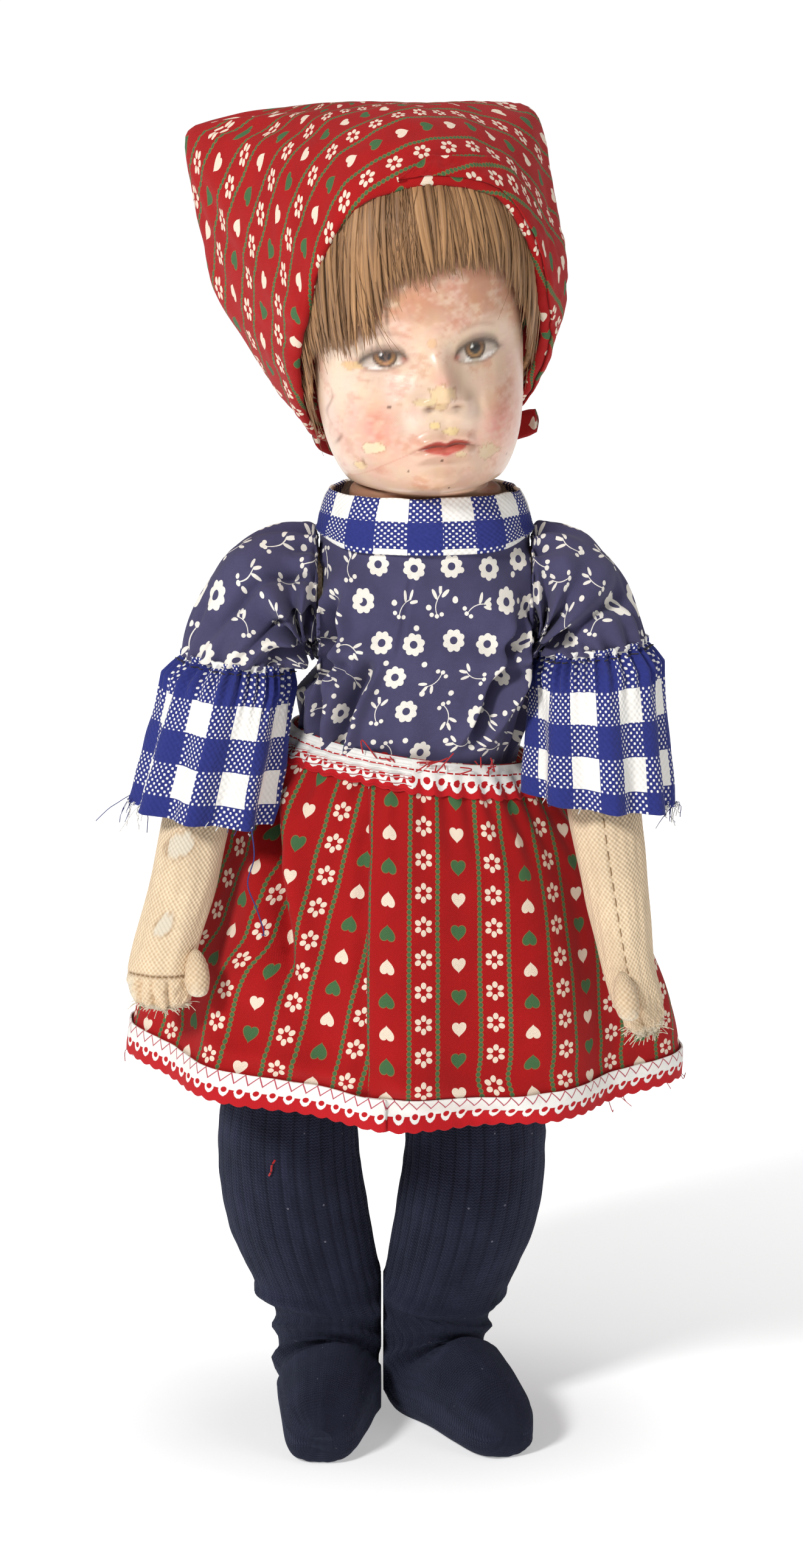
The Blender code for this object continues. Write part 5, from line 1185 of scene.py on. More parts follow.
class DollStage(bpy.types.Operator):
    """White paper floor, soft studio lights and the camera at the picture's angle"""
    bl_idname = "doll.stage"
    bl_label = "Stage"

    def execute(self, context):
        scene = context.scene
        y, x = np.meshgrid(np.linspace(-3, 30, 34), np.linspace(-16, 16, 33), indexing="ij")
        floor = lay("floor", np.stack([x, y, 0 * x], 2), shade_of(white_paper))
        camera = bpy.data.objects.new("camera", bpy.data.cameras.new("camera"))
        camera.location, camera.rotation_euler = (0, -1.7607, 0.6392), (math.radians(78), 0, 0)
        camera.data.sensor_fit, camera.data.sensor_height, camera.data.lens = "VERTICAL", 36, 102.68
        scene.collection.objects.link(camera)
        scene.camera = camera
        for name, place, aim, size, power in (("key", (-1.15, -1.55, 1.45), (0, 0, 0.30), 0.4, 37),
                                              ("fill", (1.5, -1.3, 0.9), (0, 0, 0.25), 0.9, 4.5),
                                              ("top", (0.1, 0.2, 2.0), (0, 0, 0.2), 1.2, 13)):
            lamp = bpy.data.lights.new(name, "AREA")
            lamp.energy, lamp.size = power, size
            light = bpy.data.objects.new(name, lamp)
            light.location = place
            way = unit(np.array(place, float) - np.array(aim))
            light.rotation_euler = (math.acos(way[2]), 0, math.atan2(way[0], -way[1]))
            scene.collection.objects.link(light)
        scene.world = bpy.data.worlds.new("studio")
        scene.world.use_nodes = True
        tree = scene.world.node_tree
        seen = add_node(tree, "LightPath")
        level = add_node(tree, "Math.MULTIPLY_ADD", seen, 0.93, 0.11)
        tree.links.new(level, tree.nodes["Background"].inputs["Strength"])
        tree.nodes["Background"].inputs["Color"].default_value = (1, 1, 1, 1)
        scene.view_settings.view_transform = "Standard"
        return {"FINISHED"}


class DollBody(bpy.types.Operator):
    """Stuffed muslin body and legs, and the board discs and steel pins that joint them"""
    bl_idname = "doll.body"
    bl_label = "Body and legs"

    def execute(self, context):
        grid = torso_grid()
        muslin = shade_of(unbleached_muslin)
        uv = chart(np.linspace(0, 250, grid.shape[1] + 1), 1000 * grid[:, :1, 2])
        settle(lay("muslin_torso", grid, muslin, uv, True, True), "torso", "muslin", "torso")
        for side in SIDES:
            grid, hip = (leg_grid(side, grow, HIP_Z + 0.06, 90, 48) for grow in (-0.0008, -0.0043))
            grid = grid + (hip - grid) * smooth(0.165, 0.195, hip[..., 2:])
            uv = chart(np.linspace(0, 170, 49), arc(grid, 0)[:, :1])
            leg = lay(side + "_muslin_leg", grid, muslin, uv, True, True)
            settle(leg, side + "_leg", "muslin", side + "_leg")
        for name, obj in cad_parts.items():
            if "_disc" in name or "_pin" in name:
                obj.data.materials.clear()
                obj.data.materials.append(shade_of(pressed_board if "disc" in name else nickel_steel))
        return {"FINISHED"}


class DollHead(bpy.types.Operator):
    """Head of pressed cloth with its painted face"""
    bl_idname = "doll.head"
    bl_label = "Head"

    def execute(self, context):
        local = head_grid(280, 290)
        paint = face_colours(local, context.scene.doll_colours)
        head = lay("painted_head", head_pose(local), shade_of(oil_painted_cloth), None, True, True, paint=paint)
        settle(head, "head", "face_paint", "head")
        return {"FINISHED"}


class DollWig(bpy.types.Operator):
    """Wig: a cap over the skull, locks that fall from under the scarf and single strands over them"""
    bl_idname = "doll.wig"
    bl_label = "Wig"

    def execute(self, context):
        sizes = context.scene.doll_sizes
        hair = shade_of(mohair_wig)
        rng = np.random.default_rng(7)
        t = turns(150) - math.pi
        ways = cap_ways(wig_edge(t), np.linspace(0.02, 0.97, 44), (0, 0, 1))
        grid = HEAD_MIDDLE + ways * (skull(ways) + 0.0044)[..., None]
        uv = chart(np.linspace(0, 260, 151), arc(grid, 0)[:, :1])
        cap = thicken(lay("wig_cap", head_pose(grid), hair, uv, True), 0.0016)
        settle(cap, "head", "hair", "wig")

        def fall(count, points, spread, lift, seed):
            """Paths from under the scarf down to the edge of the wig, uneven in place, length and height."""
            rng = np.random.default_rng(seed)
            front = count * 3 // 4
            angle = np.concatenate([rng.uniform(-1.45, 1.35, front), rng.uniform(-3.1, 3.1, count - front)])
            edge = wig_edge(angle)
            edge[:, 2] += rng.normal(0, 0.0024, count) - 0.002
            edge[:, 0] += rng.normal(0, 0.0016, count)
            share = np.linspace(0.30, 1.0, points)
            course = np.moveaxis(cap_ways(edge, share, (0, 0, 1)), 0, 1)
            sway = rng.normal(0, spread, (count, 1, 1)) * (share[:, None] - 0.3) ** 2 * np.array([1.0, 0, 0])
            course = unit(course + sway)
            high = lift * (1 - 0.52 * share ** 3) + rng.normal(0, 0.0007, (count, 1))
            return HEAD_MIDDLE + course * (skull(course) + np.maximum(high, 0.0016))[..., None], course

        paths, out = fall(sizes.locks, 11, 0.10, 0.0072, 8)
        share = np.linspace(0, 1, 11)
        width = sizes.lock_width * rng.uniform(0.6, 1.35, (sizes.locks, 1)) * (1 - 0.93 * share ** 5)
        outward = head_pose(paths + out) - head_pose(paths)
        locks = strands("wig_locks", head_pose(paths), width, hair, 6, 0.30, outward)
        settle(locks, "head", "hair")
        paths, _ = fall(sizes.wisps, 9, 0.30, 0.0080, 9)
        wisps = strands("wig_wisps", head_pose(paths), 0.00017 * (1 - 0.6 * np.linspace(0, 1, 9) ** 3), hair, 4)
        settle(wisps, "head", "hair")
        return {"FINISHED"}


class DollScarf(bpy.types.Operator):
    """Printed scarf drawn tight over the head, its knot at the nape and two tails"""
    bl_idname = "doll.scarf"
    bl_label = "Head scarf"

    def execute(self, context):
        sizes = context.scene.doll_sizes
        red = shade_of(printed_red_cotton)
        t = turns(280) - math.pi
        steps = np.concatenate([np.linspace(0.025, 0.90, 74), np.linspace(0.915, 1.0, 12)])
        ways = cap_ways(scarf_edge(t), steps, (-0.15, 0.55, 0.8))
        base = skull(ways) + 2 * LINING + WIG + CLOTH
        reach = taut(ways, base)
        for _ in range(5):
            near = np.pad(reach, ((1, 1), (0, 0)), "edge")
            reach = (2 * reach + near[:-2] + near[2:] + np.roll(reach, 1, 1) + np.roll(reach, -1, 1)) / 6
        for point, count, deep, wide in ((SCARF_POINTS[2], 9, 0.0011, 0.50), (SCARF_POINTS[4], 8, 0.0010, 0.42),
                                         (np.array([0, 0.058, -0.05]), 17, 0.0013, 0.75)):
            pole = unit(point)
            first = unit(np.cross(pole, [0.3, 1.0, 0.2]))
            far = np.arccos(np.clip(ways @ pole, -1, 1))
            angle = np.arctan2(ways @ np.cross(pole, first), ways @ first)
            pleats = deep * np.cos(count * angle + 2 * np.sin(2 * angle))
            reach = reach + pleats * bell(far, wide) * smooth(0.02, 0.22, far)
        reach = reach + 0.0006 * ripple(71, *(3.5 * np.moveaxis(ways, 2, 0)))
        grid = HEAD_MIDDLE + ways * reach[..., None]
        along, inward = unit(grid[-1] - grid[-3]), -ways[-1]
        curl = [grid[-1] + 0.0017 * (math.sin(a) * along + (1 - math.cos(a)) * inward)
                for a in np.radians((30, 65, 100, 140, 180))]
        curl.append(curl[-1] - 0.003 * along)
        grid = np.vstack([grid, np.array(curl)])
        run = arc(grid, 0)
        face = run[len(steps) - 1] - run
        rim = np.append(grid[len(steps) - 1], grid[len(steps) - 1, :1], axis=0)[None]
        hem = arc(rim, 1)[0]
        face = np.concatenate([face, face[:, :1]], 1)
        size = np.linalg.norm(np.diff(grid, axis=1, append=grid[:, :1]), axis=2).sum(1)[:, None]
        hem_at = hem * np.minimum(1, size / size[12])
        uv = np.stack([face - 0.27 * hem_at + 18.0, hem_at], 2)
        scarf = thicken(lay("printed_scarf", head_pose(grid), red, uv, True, True), sizes.cloth)
        settle(scarf, "head", "red_print", "head_scarf")

        front = len(steps) - 1
        lap = np.linspace(-0.30, 2.05, 150)
        deep = 0.5 + 8.5 * smooth(-0.30, 0.15, lap) + 9.0 * smooth(0.3, 1.1, lap)
        share = shares(26)
        column = (lap + math.pi) / (2 * math.pi)
        level = np.array([np.interp(d * share[:, 0], face[front::-1, c], np.arange(front, -1, -1))
                          for d, c in zip(deep, (column * 280).astype(int))]).T
        under = on_grid(grid, level / (len(grid) - 1), np.broadcast_to(column, level.shape))
        lift = sizes.cloth + 0.0005 + 0.0005 * share ** 4 + 0.0003 * ripple(73, 2 * share, 4 * lap)
        flap = under + lift[..., None] * unit(under - HEAD_MIDDLE)
        along = np.interp(column * 280, np.arange(281), hem)
        uv = np.stack([0.93 * deep * share - 0.37 * along + 4.0, 0.37 * deep * share + 0.93 * along], 2)
        flap = settle(thicken(lay("scarf_flap", head_pose(flap), red, uv), sizes.cloth), "head", "red_print")

        seat = 0.5 * (np.array(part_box("scarf_knot")[0]) + np.array(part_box("scarf_knot")[1]))
        middle = seat
        for _ in range(12):
            middle = middle + seat - head_pose(middle)
        step = np.linspace(-0.985, 0.985, 46)[:, None]
        a = turns(64)
        size = 0.0088 * np.sqrt(1 - step * step) * (0.9 + 0.25 * step * step)
        size = size * (1 + 0.07 * np.sin(5 * a + 9 * step) + 0.05 * ripple(72, np.cos(a), np.sin(a), 2 * step))
        knot = np.stack([np.broadcast_to(0.011 * step, size.shape), size * np.cos(a), size * np.sin(a)], 2) + middle
        uv = chart(np.linspace(0, 55, 65), 14 * step)
        knot = settle(lay("scarf_knot_wrap", head_pose(knot), red, uv, True, True), "head", "red_print", "scarf_knot")
        for side, out in SIDES.items():
            longer = 1.22 if side == "left" else 0.72
            start = 0.01107
            path = spline(((start, 0, 0), (start + 0.008, -0.001, -0.0005), (start + 0.022, -0.010, 0.0005),
                           (start + 0.034, -0.024, 0.006)), 40)
            way = unit(np.gradient(path, axis=0))
            share = shares(40)
            half = 0.0055 * (0.55 + 0.45 * smooth(0, 0.55, share) - 0.12 * smooth(0.9, 1, share))
            thick = 0.0019 * (1 + 0.3 * np.sin(6 * share)) + 0.0004 * np.cos(3 * a)
            stretched = path * [longer, longer, 1] + [(1 - longer) * start, 0, 0]
            ring = middle + np.array([out, 1, 1]) * stretched[:, None]
            flat = np.stack([-way[:, 1], way[:, 0], 0 * way[:, 0]], 1)[:, None] * [out, 1, 1]
            ring = ring + (thick * np.cos(a))[..., None] * flat
            ring = ring + (half * np.sin(a))[..., None] * np.array([0, 0, 1.0])
            ring = ring + 0.0006 * np.sin(9 * share)[..., None] * flat
            uv = chart(np.linspace(0, 26, 65), 46 * share)
            tail = lay("scarf_tail_end_" + side, head_pose(ring), red, uv, True, True)
            settle(tail, "head", "red_print", "scarf_tail_" + side)
        return {"FINISHED"}


class DollBlouse(bpy.types.Operator):
    """Blouse of printed calico, its gingham collar, the press stud and the wire loop"""
    bl_idname = "doll.blouse"
    bl_label = "Blouse and collar"

    def execute(self, context):
        sizes = context.scene.doll_sizes
        z = np.linspace(WAIST_Z - 0.011, BLOUSE_TOP, 118)[:, None]
        t = turns(400) - math.pi
        half, deep, ease = blouse_size(z)
        fold = np.maximum(blouse_folds(z, t), 0.0009 - ease)
        limit = ARMHOLE + 0.012 * smooth(0.314, 0.300, z)
        x = middle_x(z) + (half + fold) * np.sin(t)
        x = NECK_X + np.clip(x - NECK_X, -limit, limit)
        high = z + 0.0012 * smooth(SHOULDER_Z, SHOULDER_Z + 0.004, z)
        grid = np.stack([x, -(deep + fold) * np.cos(t), np.broadcast_to(high, x.shape)], 2)
        hole = (np.hypot(grid[..., 1], grid[..., 2] - SHOULDER_Z) < ARM_ROOT + 0.0024) & (np.abs(x - NECK_X) > 0.033)
        solid = ~(hole[:-1] & hole[1:] & np.roll(hole, -1, 1)[:-1] & np.roll(hole, -1, 1)[1:])
        run = arc(np.concatenate([grid, grid[:, :1]], 1), 1)
        uv = chart(run - run[:, 200:201] + 3.0, 1000 * z)
        blouse = thicken(lay("calico_blouse", grid, shade_of(navy_calico), uv, True, keep=solid), sizes.cloth)
        settle(blouse, "torso", "navy_print", "blouse")

        share = shares(26)
        half = 0.5 * np.interp(share, (0, 1), (COLLAR_WIDE, COLLAR_TOP_WIDE))
        deep = half * np.interp(share, (0, 1), (0.76, 0.90))
        pucker = 0.0006 * ripple(82, t * 1.3, share) + 0.0005 * np.sin(math.pi * share)
        pucker = pucker + 0.0004 * np.cos(9 * t) * share - 0.0009 * smooth(0.86, 1.0, share)
        stand = np.stack([NECK_X + (half + pucker) * np.sin(t), -(deep + pucker) * np.cos(t),
                          COLLAR_Z + COLLAR_TALL * share + 0.0007 * share * ripple(83, t) + 0 * t], 2)
        share = np.linspace(0, 1, 12)[:-1, None]
        low = COLLAR_Z - 0.0072 * smooth(0.0, 0.9, np.abs(np.cos(t))) * (1 - share)
        half, deep, _ = blouse_size(low)
        swell = blouse_folds(low, t) + CLOTH + 0.0006 + 0.0004 * np.cos(9 * t)
        skirt_part = np.stack([NECK_X + (half + swell) * np.sin(t), -(deep + swell) * np.cos(t), low + 0.0008], 2)
        grid = np.vstack([skirt_part, stand])
        for _ in range(14):
            grid[1:-1] = (grid[:-2] + 2 * grid[1:-1] + grid[2:]) / 4
        uv = chart(np.linspace(-math.pi, math.pi, 401) * 38.5 + CHECK / 2,
                   np.concatenate([7.5 * share - 2.5, 17.5 * shares(26) + 5.0]))
        collar = thicken(lay("gingham_collar", grid, shade_of(blue_gingham), uv, True), 0.0014)
        settle(collar, "torso", "gingham", "collar")

        steel = shade_of(nickel_steel)
        turn = math.radians(126)
        half = 0.5 * (COLLAR_WIDE - 0.3 * 0.009)
        deep = half * 0.802
        out = unit(np.array([math.sin(turn) / half, -math.cos(turn) / deep, 0]))
        side = np.cross(out, [0, 0, 1.0])
        foot = np.array([NECK_X + half * math.sin(turn), -deep * math.cos(turn), COLLAR_Z + 0.3 * COLLAR_TALL])
        foot = foot + 0.0002 * out
        bend = np.linspace(-0.25, math.pi + 0.25, 40)[:, None]
        path = foot + 0.0036 * (np.cos(bend) * side + (np.sin(bend) + 0.25) * out)
        loop = strands("collar_wire_loop", path[None], 0.0007, steel, 12)
        settle(loop, "torso", "steel", "collar_loop")

        z = SHOULDER_Z - 0.02135
        turn = math.radians(-56)
        half, deep, _ = (float(v) for v in blouse_size(z))
        spot = np.array([float(middle_x(z)) + (half + 0.0006) * math.sin(turn), -(deep + 0.0006) * math.cos(turn), z])
        out = unit(np.array([math.sin(turn) / half, -math.cos(turn) / deep, 0]))
        side = np.cross(out, [0, 0, 1.0])
        profile = ((0, 0.5), (0, 1.0), (0.25, 1.06), (0.50, 0.95), (0.58, 0.62), (0.66, 0.55), (1.0, 0.52),
                   (1.12, 0.40), (1.15, 0.06))
        step, size = spline(profile, 40).T[:, :, None]
        a = turns(36)
        rim = np.stack([np.cos(a), np.sin(a)], 1)
        rim = rim[:, :1] * side + rim[:, 1:] * np.array([0, 0, 1.0])
        grid = spot + 0.0018 * step[..., None] * out + 0.0036 * size[..., None] * rim
        settle(lay("press_stud_cap", grid, steel, None, True, True), "torso", "steel", "press_stud")
        return {"FINISHED"}


class DollSleeves(bpy.types.Operator):
    """Puffed calico sleeves with gathered gingham frills, their gathering stitches and frayed edges"""
    bl_idname = "doll.sleeves"
    bl_label = "Sleeves and frills"

    def execute(self, context):
        sizes, dyes = context.scene.doll_sizes, context.scene.doll_colours
        for side, out in SIDES.items():
            arm = side + "_arm"
            grid = sleeve_grid(side)
            uv = chart(np.linspace(0, 150, grid.shape[1] + 1), 1.05 * arc(grid, 0).mean(1)[:, None])
            sleeve = thicken(lay(side + "_calico_sleeve", grid, shade_of(navy_calico), uv, True), sizes.cloth)
            settle(sleeve, arm, "navy_print", side + "_sleeve")
            grid, step = frill_grid(side)
            count = grid.shape[1]
            hem = np.linalg.norm(np.diff(np.vstack([grid[-1], grid[-1, :1]]), axis=0), axis=1)
            run = np.concatenate([[0], np.cumsum(hem)])
            uv = chart(1000 * run + (4.0 if side == "right" else 9.0), CHECK - 1000 * FRILL_LONG * 1.03 * step)
            frill = thicken(lay(side + "_gingham_frill", grid, shade_of(blue_gingham), uv, True), sizes.cloth)
            settle(frill, arm, "gingham", side + "_frill")
            seam = int(np.argmax(step[:, 0] >= 0.012))
            start = np.arange(0, count - 8, 7)
            index = start[:, None] + np.linspace(0, 4, 5)
            rows = np.full(index.shape, seam / (len(grid) - 1))
            dashes = on_grid(grid, rows, index / count)
            centre = grid[seam].mean(0)
            proud = np.array([1.2, 0.9, 0.9, 0.9, 1.2])[None, :, None]
            dashes = dashes + 0.00045 * unit(dashes - centre) * proud - [0, 0, 0.0002]
            dark = thread_of("dark_thread", linear("2A2320"))
            stitches = strands(side + "_gathering_stitches", dashes, 0.00028, dark, 5)
            settle(stitches, arm, "navy_print")
            rng = np.random.default_rng(90 + out)
            around = np.concatenate([rng.normal(0.0, 0.035, 16), rng.uniform(0, 1, 14)])
            root = on_grid(grid, np.ones(30), around)
            droop = np.linspace(0, 1, 8)[None, :, None]
            swing = rng.normal(0, 1, (30, 1, 3)) * [0.0035, 0.0035, 0.002] - [0, 0, 0.001]
            long = np.where(np.arange(30) < 16, rng.uniform(0.4, 1.6, 30), rng.uniform(0.2, 0.5, 30))[:, None, None]
            fray = root[:, None] + [0, 0, 0.001] + long * (swing * droop - np.array([0, 0, 0.0065]) * droop ** 1.3)
            fray = fray + 0.0006 * np.sin(7 * droop + rng.uniform(0, 6, (30, 1, 1)))
            white, blue = thread_of("white_yarn", dyes.white), thread_of("blue_yarn", dyes.blue)
            frays = [strands(side + "_white_fray", fray[::2], 0.00022, white, 4),
                     strands(side + "_blue_fray", fray[1::2] + 0.0006, 0.00018, blue, 4)]
            if side == "right":
                root = on_grid(grid, np.ones(1), np.full(1, 0.36))
                hang = spline(((0, 0, 0.001), (0.001, -0.002, -0.010), (-0.0015, -0.004, -0.020),
                               (0.002, -0.005, -0.030), (0.0045, -0.005, -0.038), (0.0046, -0.005, -0.0405)), 60)
                share = np.linspace(0, 1, 60)
                swell = 0.00028 + 0.0009 * smooth(0.955, 0.985, share) * smooth(1.02, 0.985, share)
                frays.append(strands("loose_blue_thread", (root + hang)[None], swell[None], blue, 6))
            for thread in frays:
                settle(thread, arm, "gingham")
        return {"FINISHED"}


class DollArms(bpy.types.Operator):
    """Stuffed muslin arms with stitched hands, thumbs and seam stitches"""
    bl_idname = "doll.arms"
    bl_label = "Arms"

    def execute(self, context):
        muslin = shade_of(unbleached_muslin)
        for side, out in SIDES.items():
            body = side + "_arm"
            grid = arm_grid(side)
            rows, cols = grid.shape[:2]
            share = shares(rows)
            t = turns(cols)
            across = np.array(spline(arm_rows(side), rows))[:, 3:4] * np.cos(t) * 1000
            facing = smooth(-0.1, 0.3, np.sin(t))
            speck = ripple(36 + out, 2.5 * np.cos(t), 2.5 * np.sin(t), 9 * share)
            fine = ripple(38 + out, 7 * np.cos(t), 7 * np.sin(t), 30 * share)
            tips = smooth(0.90, 0.975, share + 0.035 * speck + 0.02 * fine)
            soil = 0.15 * smooth(0.2, 0.9, speck) + 0.25 * smooth(0.6, 1.0, share)
            bare = np.zeros((rows, cols))
            if side == "right":
                tips = np.maximum(tips, 0.9 * smooth(9.5, 11.5, across + 0.8 * speck) * smooth(0.76, 0.82, share))
                soil = soil + 0.9 * facing * bell(share - 0.775, 0.006)
                for place, high, wide, tall in ((4.5, 0.535, 5.2, 0.017), (3.0, 0.655, 3.4, 0.019)):
                    rise = (share - high - 0.004 * (across - place) / 3) / tall
                    edge = np.hypot((across - place) / wide, rise) ** 2 + 0.4 * fine + 0.3 * speck
                    bare = np.maximum(bare, 0.9 * smooth(1.15, 0.85, edge) * facing)
                    soil = soil + 0.9 * facing * bell(edge - 1.2, 0.25)
            else:
                soil = soil + 0.4 * facing * bell(across + 1.2, 0.4) * smooth(0.35, 0.4, share)
            paint = np.stack([tips, bare, np.clip(soil, 0, 1), np.ones((rows, cols))], 2)
            uv = chart(np.linspace(0, 96, cols + 1), arc(grid, 0).mean(1)[:, None])
            arm = lay(side + "_muslin_arm", grid, muslin, uv, True, True, paint=paint)
            settle(arm, body, "muslin", side + "_arm")
            if side == "right":
                place = np.arange(0.05, 0.44, 0.030)[:, None] + np.linspace(0, 0.019, 5)
                level = np.full(place.shape, 0.775)
            else:
                level = np.arange(0.36, 0.80, 0.020)[:, None] + np.linspace(0, 0.011, 5)
                place = np.full(level.shape, 0.263)
            seam = on_grid(grid, level, place)
            ahead = np.array([0, -1.0, 0]) * np.array([0.00005, 0.00030, 0.00035, 0.00030, 0.00005])[None, :, None]
            tan = thread_of("tan_thread", linear("9C7C55"))
            settle(strands(side + "_arm_stitches", seam + ahead, 0.00022, tan, 5), body, "muslin")
            rng = np.random.default_rng(60 + out)
            root = on_grid(grid, rng.uniform(0.90, 0.995, 90), rng.uniform(0, 0.52, 90))
            way = unit(root - grid[int(0.93 * rows)].mean(0)) + rng.normal(0, 0.55, (90, 3))
            reach = rng.uniform(0.0008, 0.0026, (90, 1, 1)) * np.linspace(0, 1, 5)[None, :, None]
            tuft = root[:, None] + reach * way[:, None] - [0, 0, 180] * reach ** 2
            raw = thread_of("raw_yarn", linear("E3D6BE"))
            settle(strands(side + "_frayed_tips", tuft, 0.00016, raw, 4), body, "muslin")
            grid = thumb_grid(side)
            level = shares(grid.shape[0])
            a = turns(grid.shape[1])
            tips = smooth(0.5, 0.85, level + 0.1 * ripple(39 + out, np.cos(a), np.sin(a), 3 * level))
            paint = np.stack([tips, 0 * tips, 0.4 + 0 * tips, 1 + 0 * tips], 2)
            uv = chart(np.linspace(0, 27, grid.shape[1] + 1), arc(grid, 0).mean(1)[:, None])
            thumb = lay(side + "_muslin_thumb", grid, muslin, uv, True, True, paint=paint)
            settle(thumb, body, "muslin", side + "_thumb")
        return {"FINISHED"}


class DollSkirt(bpy.types.Operator):
    """Printed skirt in two laps that meet at the front pleat and the back, with edging at waist and hem"""
    bl_idname = "doll.skirt"
    bl_label = "Skirt and edgings"

    def execute(self, context):
        sizes = context.scene.doll_sizes
        over = 1.5 * CLEAR + TRIM
        low, tall = TRIM_DROP / SKIRT_LONG, 0.80 * HEM_TRIM / SKIRT_LONG
        step = shares(134)
        edge_step = np.linspace(1 - tall + low, 1 + low, 30)[:, None]
        red = thread_of("red_thread", context.scene.doll_colours.trim_red)
        for side in SIDES:
            start, end = skirt_halves(step)[side]
            c = np.linspace(0, 1, 320)
            t = start + (end - start) * c
            near, far = np.abs(t - start) * skirt_size(step)[0], (end - t) * skirt_size(step)[0]
            if side == "left":
                under = -0.0022 * smooth(0.0024, 0.0, near)
            else:
                under = -0.0024 * smooth(0.016, 0.009, far) - 0.0016 * smooth(0.008, 0.003, near)
            grid = skirt_points(step, t, under, sizes)
            run = arc(grid, 1)
            if side == "left":
                ahead = np.cos(t) > 0
                zero = [np.interp(0.0086, x[a], r[a]) for x, r, a in zip(grid[..., 0], run, ahead)]
                zero, slant = np.array(zero)[:, None], 0
            else:
                zero, slant = run[:, -1:] + 14.3, 0.24 * 1000 * SKIRT_LONG * step
            scale = 1.0 + 0.08 * smooth(0, 0.9, step)
            uv = chart((run - zero) / scale + slant, -1000 * SKIRT_LONG * 1.02 * step)
            half = thicken(lay(side + "_printed_skirt", grid, shade_of(printed_red_cotton), uv), sizes.cloth)
            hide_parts("skirt")
            start, end = skirt_halves(edge_step)[side]
            t = start + (end - start) * c
            grid = skirt_points(edge_step, t, over, sizes)
            run = arc(grid, 1)
            scallop = 0.0011 * smooth(0.6, 1, (edge_step - 1 + tall - low) / tall)
            grid[..., 2] -= scallop * np.abs(np.cos(math.pi * run / EYELET))
            edge_uv = chart(run, 1000 * SKIRT_LONG * (edge_step - edge_step[0]))
            edge = thicken(lay(side + "_hem_edging", grid, shade_of(hem_edging), edge_uv), 0.0007)
            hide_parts("hem_trim")
            rng = np.random.default_rng(95 + SIDES[side])
            root = grid[-1, rng.integers(89, 179, 14)]
            reach = np.linspace(0, 1, 9)[None, :, None]
            curl = rng.normal(0, 1, (14, 1, 3)) * reach + rng.normal(0, 0.5, (14, 1, 3)) * np.sin(3 * reach)
            loose = root[:, None] + rng.uniform(0.0015, 0.005, (14, 1, 1)) * curl - [0, 0, 0.004] * reach ** 2
            loose = strands(side + "_hem_threads", loose, 0.00018, red, 4)
            for obj in (half, edge, loose):
                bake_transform(obj)
        t = turns(560)
        step = np.linspace(0.0, WAIST_TRIM / SKIRT_LONG, 26)[:, None]
        grid = skirt_points(step, t, over, sizes)
        run = np.concatenate([arc(grid, 1), arc(np.concatenate([grid, grid[:, :1]], 1), 1)[:, -1:]], 1)
        run = run * (np.round(run[:, -1:] / EYELET) * EYELET / run[:, -1:])
        grid[..., 2] -= 0.0010 * smooth(0.55, 1, step / step[-1]) * np.abs(np.cos(math.pi * run[:, :-1] / EYELET))
        uv = chart(run, 1000 * SKIRT_LONG * step)
        band = thicken(lay("waist_edging_band", grid, shade_of(waist_edging), uv, True), 0.0007)
        rng = np.random.default_rng(99)
        column = rng.integers(-56, 64, 16)
        outward = np.stack([np.sin(t[column]), -np.cos(t[column]), 0 * t[column]], 1)[:, None]
        reach = np.linspace(0, 1, 11)[None, :, None]
        curl = rng.normal(0, 1, (16, 1, 3)) * [1, 0.2, 0.5] * reach
        curl = curl + rng.normal(0, 0.4, (16, 1, 3)) * [1, 0.3, 1] * np.sin(4 * reach)
        loose = grid[2, column][:, None] + 0.0016 * outward + rng.uniform(0.003, 0.007, (16, 1, 1)) * curl
        loose = strands("waist_threads", loose + 0.0012 * outward * reach, 0.00028, red, 4)
        settle(band, "torso", "lace_trim", "waist_trim")
        settle(loose, "torso", "lace_trim")
        return {"FINISHED"}


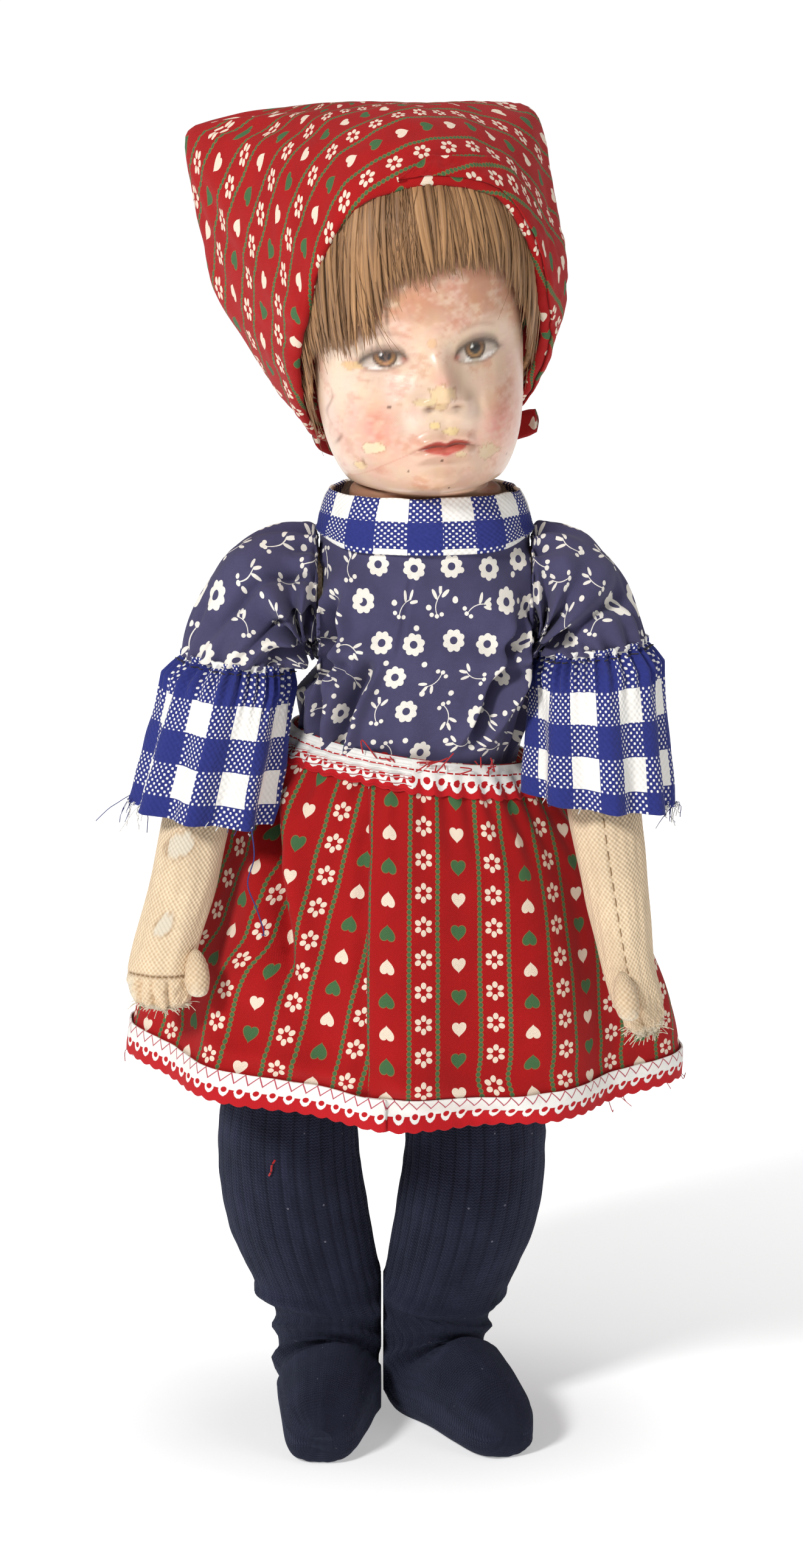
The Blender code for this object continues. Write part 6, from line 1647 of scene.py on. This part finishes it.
class DollStockings(bpy.types.Operator):
    """Ribbed wool stockings over legs and feet, slack at the ankles"""
    bl_idname = "doll.stockings"
    bl_label = "Stockings"

    def execute(self, context):
        sizes = context.scene.doll_sizes
        for side in SIDES:
            grid = leg_grid(side, CLEAR + KNIT, HIP_Z - 0.046, 220, 270, sizes.rib)
            uv = chart(np.linspace(0, 165, 271), arc(grid, 0).mean(1)[:, None])
            stocking = lay(side + "_ribbed_stocking", grid, shade_of(ribbed_wool), uv, True, (False, True))
            thicken(stocking, 0.0012)
            if side == "right":
                behind = grid[..., 1] > grid[..., 1].mean()
                miss = np.hypot(grid[..., 0] + 0.0533, grid[..., 2] - 0.112) + 9 * behind
                bend = np.array([(0, 0, 0), (0.0010, -0.0008, 0.0022), (0.0012, -0.0009, 0.0045),
                                 (0.0026, -0.0004, 0.0068)])
                lint = grid.reshape(-1, 3)[np.argmin(miss)] + [0, -0.0006, -0.003] + spline(bend, 14)
                red = thread_of("red_yarn", linear("B01219"))
                settle(strands("red_lint", lint[None], 0.00045, red), "right_leg", "red_print")
            settle(stocking, side + "_leg", "navy_knit", side + "_stocking")
        return {"FINISHED"}


OPERATORS = (DollStage, DollBody, DollHead, DollWig, DollScarf, DollBlouse, DollArms, DollSleeves, DollSkirt,
             DollStockings)


class DollPanel(bpy.types.Panel):
    """Lists the doll's sizes, colours and operators"""
    bl_idname = "VIEW3D_PT_doll"
    bl_label = "Cloth doll"
    bl_space_type = "VIEW_3D"
    bl_region_type = "UI"
    bl_category = "Doll"

    def draw(self, context):
        for group in (context.scene.doll_sizes, context.scene.doll_colours):
            box = self.layout.box()
            for name in group.__annotations__:
                box.prop(group, name)
        for operator in OPERATORS:
            self.layout.operator(operator.bl_idname)


CLASSES = (DollColours, DollSizes, *OPERATORS, DollPanel)


def register():
    for made in CLASSES:
        bpy.utils.register_class(made)
    bpy.types.Scene.doll_colours = bpy.props.PointerProperty(type=DollColours)
    bpy.types.Scene.doll_sizes = bpy.props.PointerProperty(type=DollSizes)


def unregister():
    del bpy.types.Scene.doll_colours
    del bpy.types.Scene.doll_sizes
    for made in reversed(CLASSES):
        bpy.utils.unregister_class(made)


def main():
    register()
    for operator in OPERATORS:
        group, name = operator.bl_idname.split(".")
        getattr(getattr(bpy.ops, group), name)()


if __name__ == "__main__":
    main()
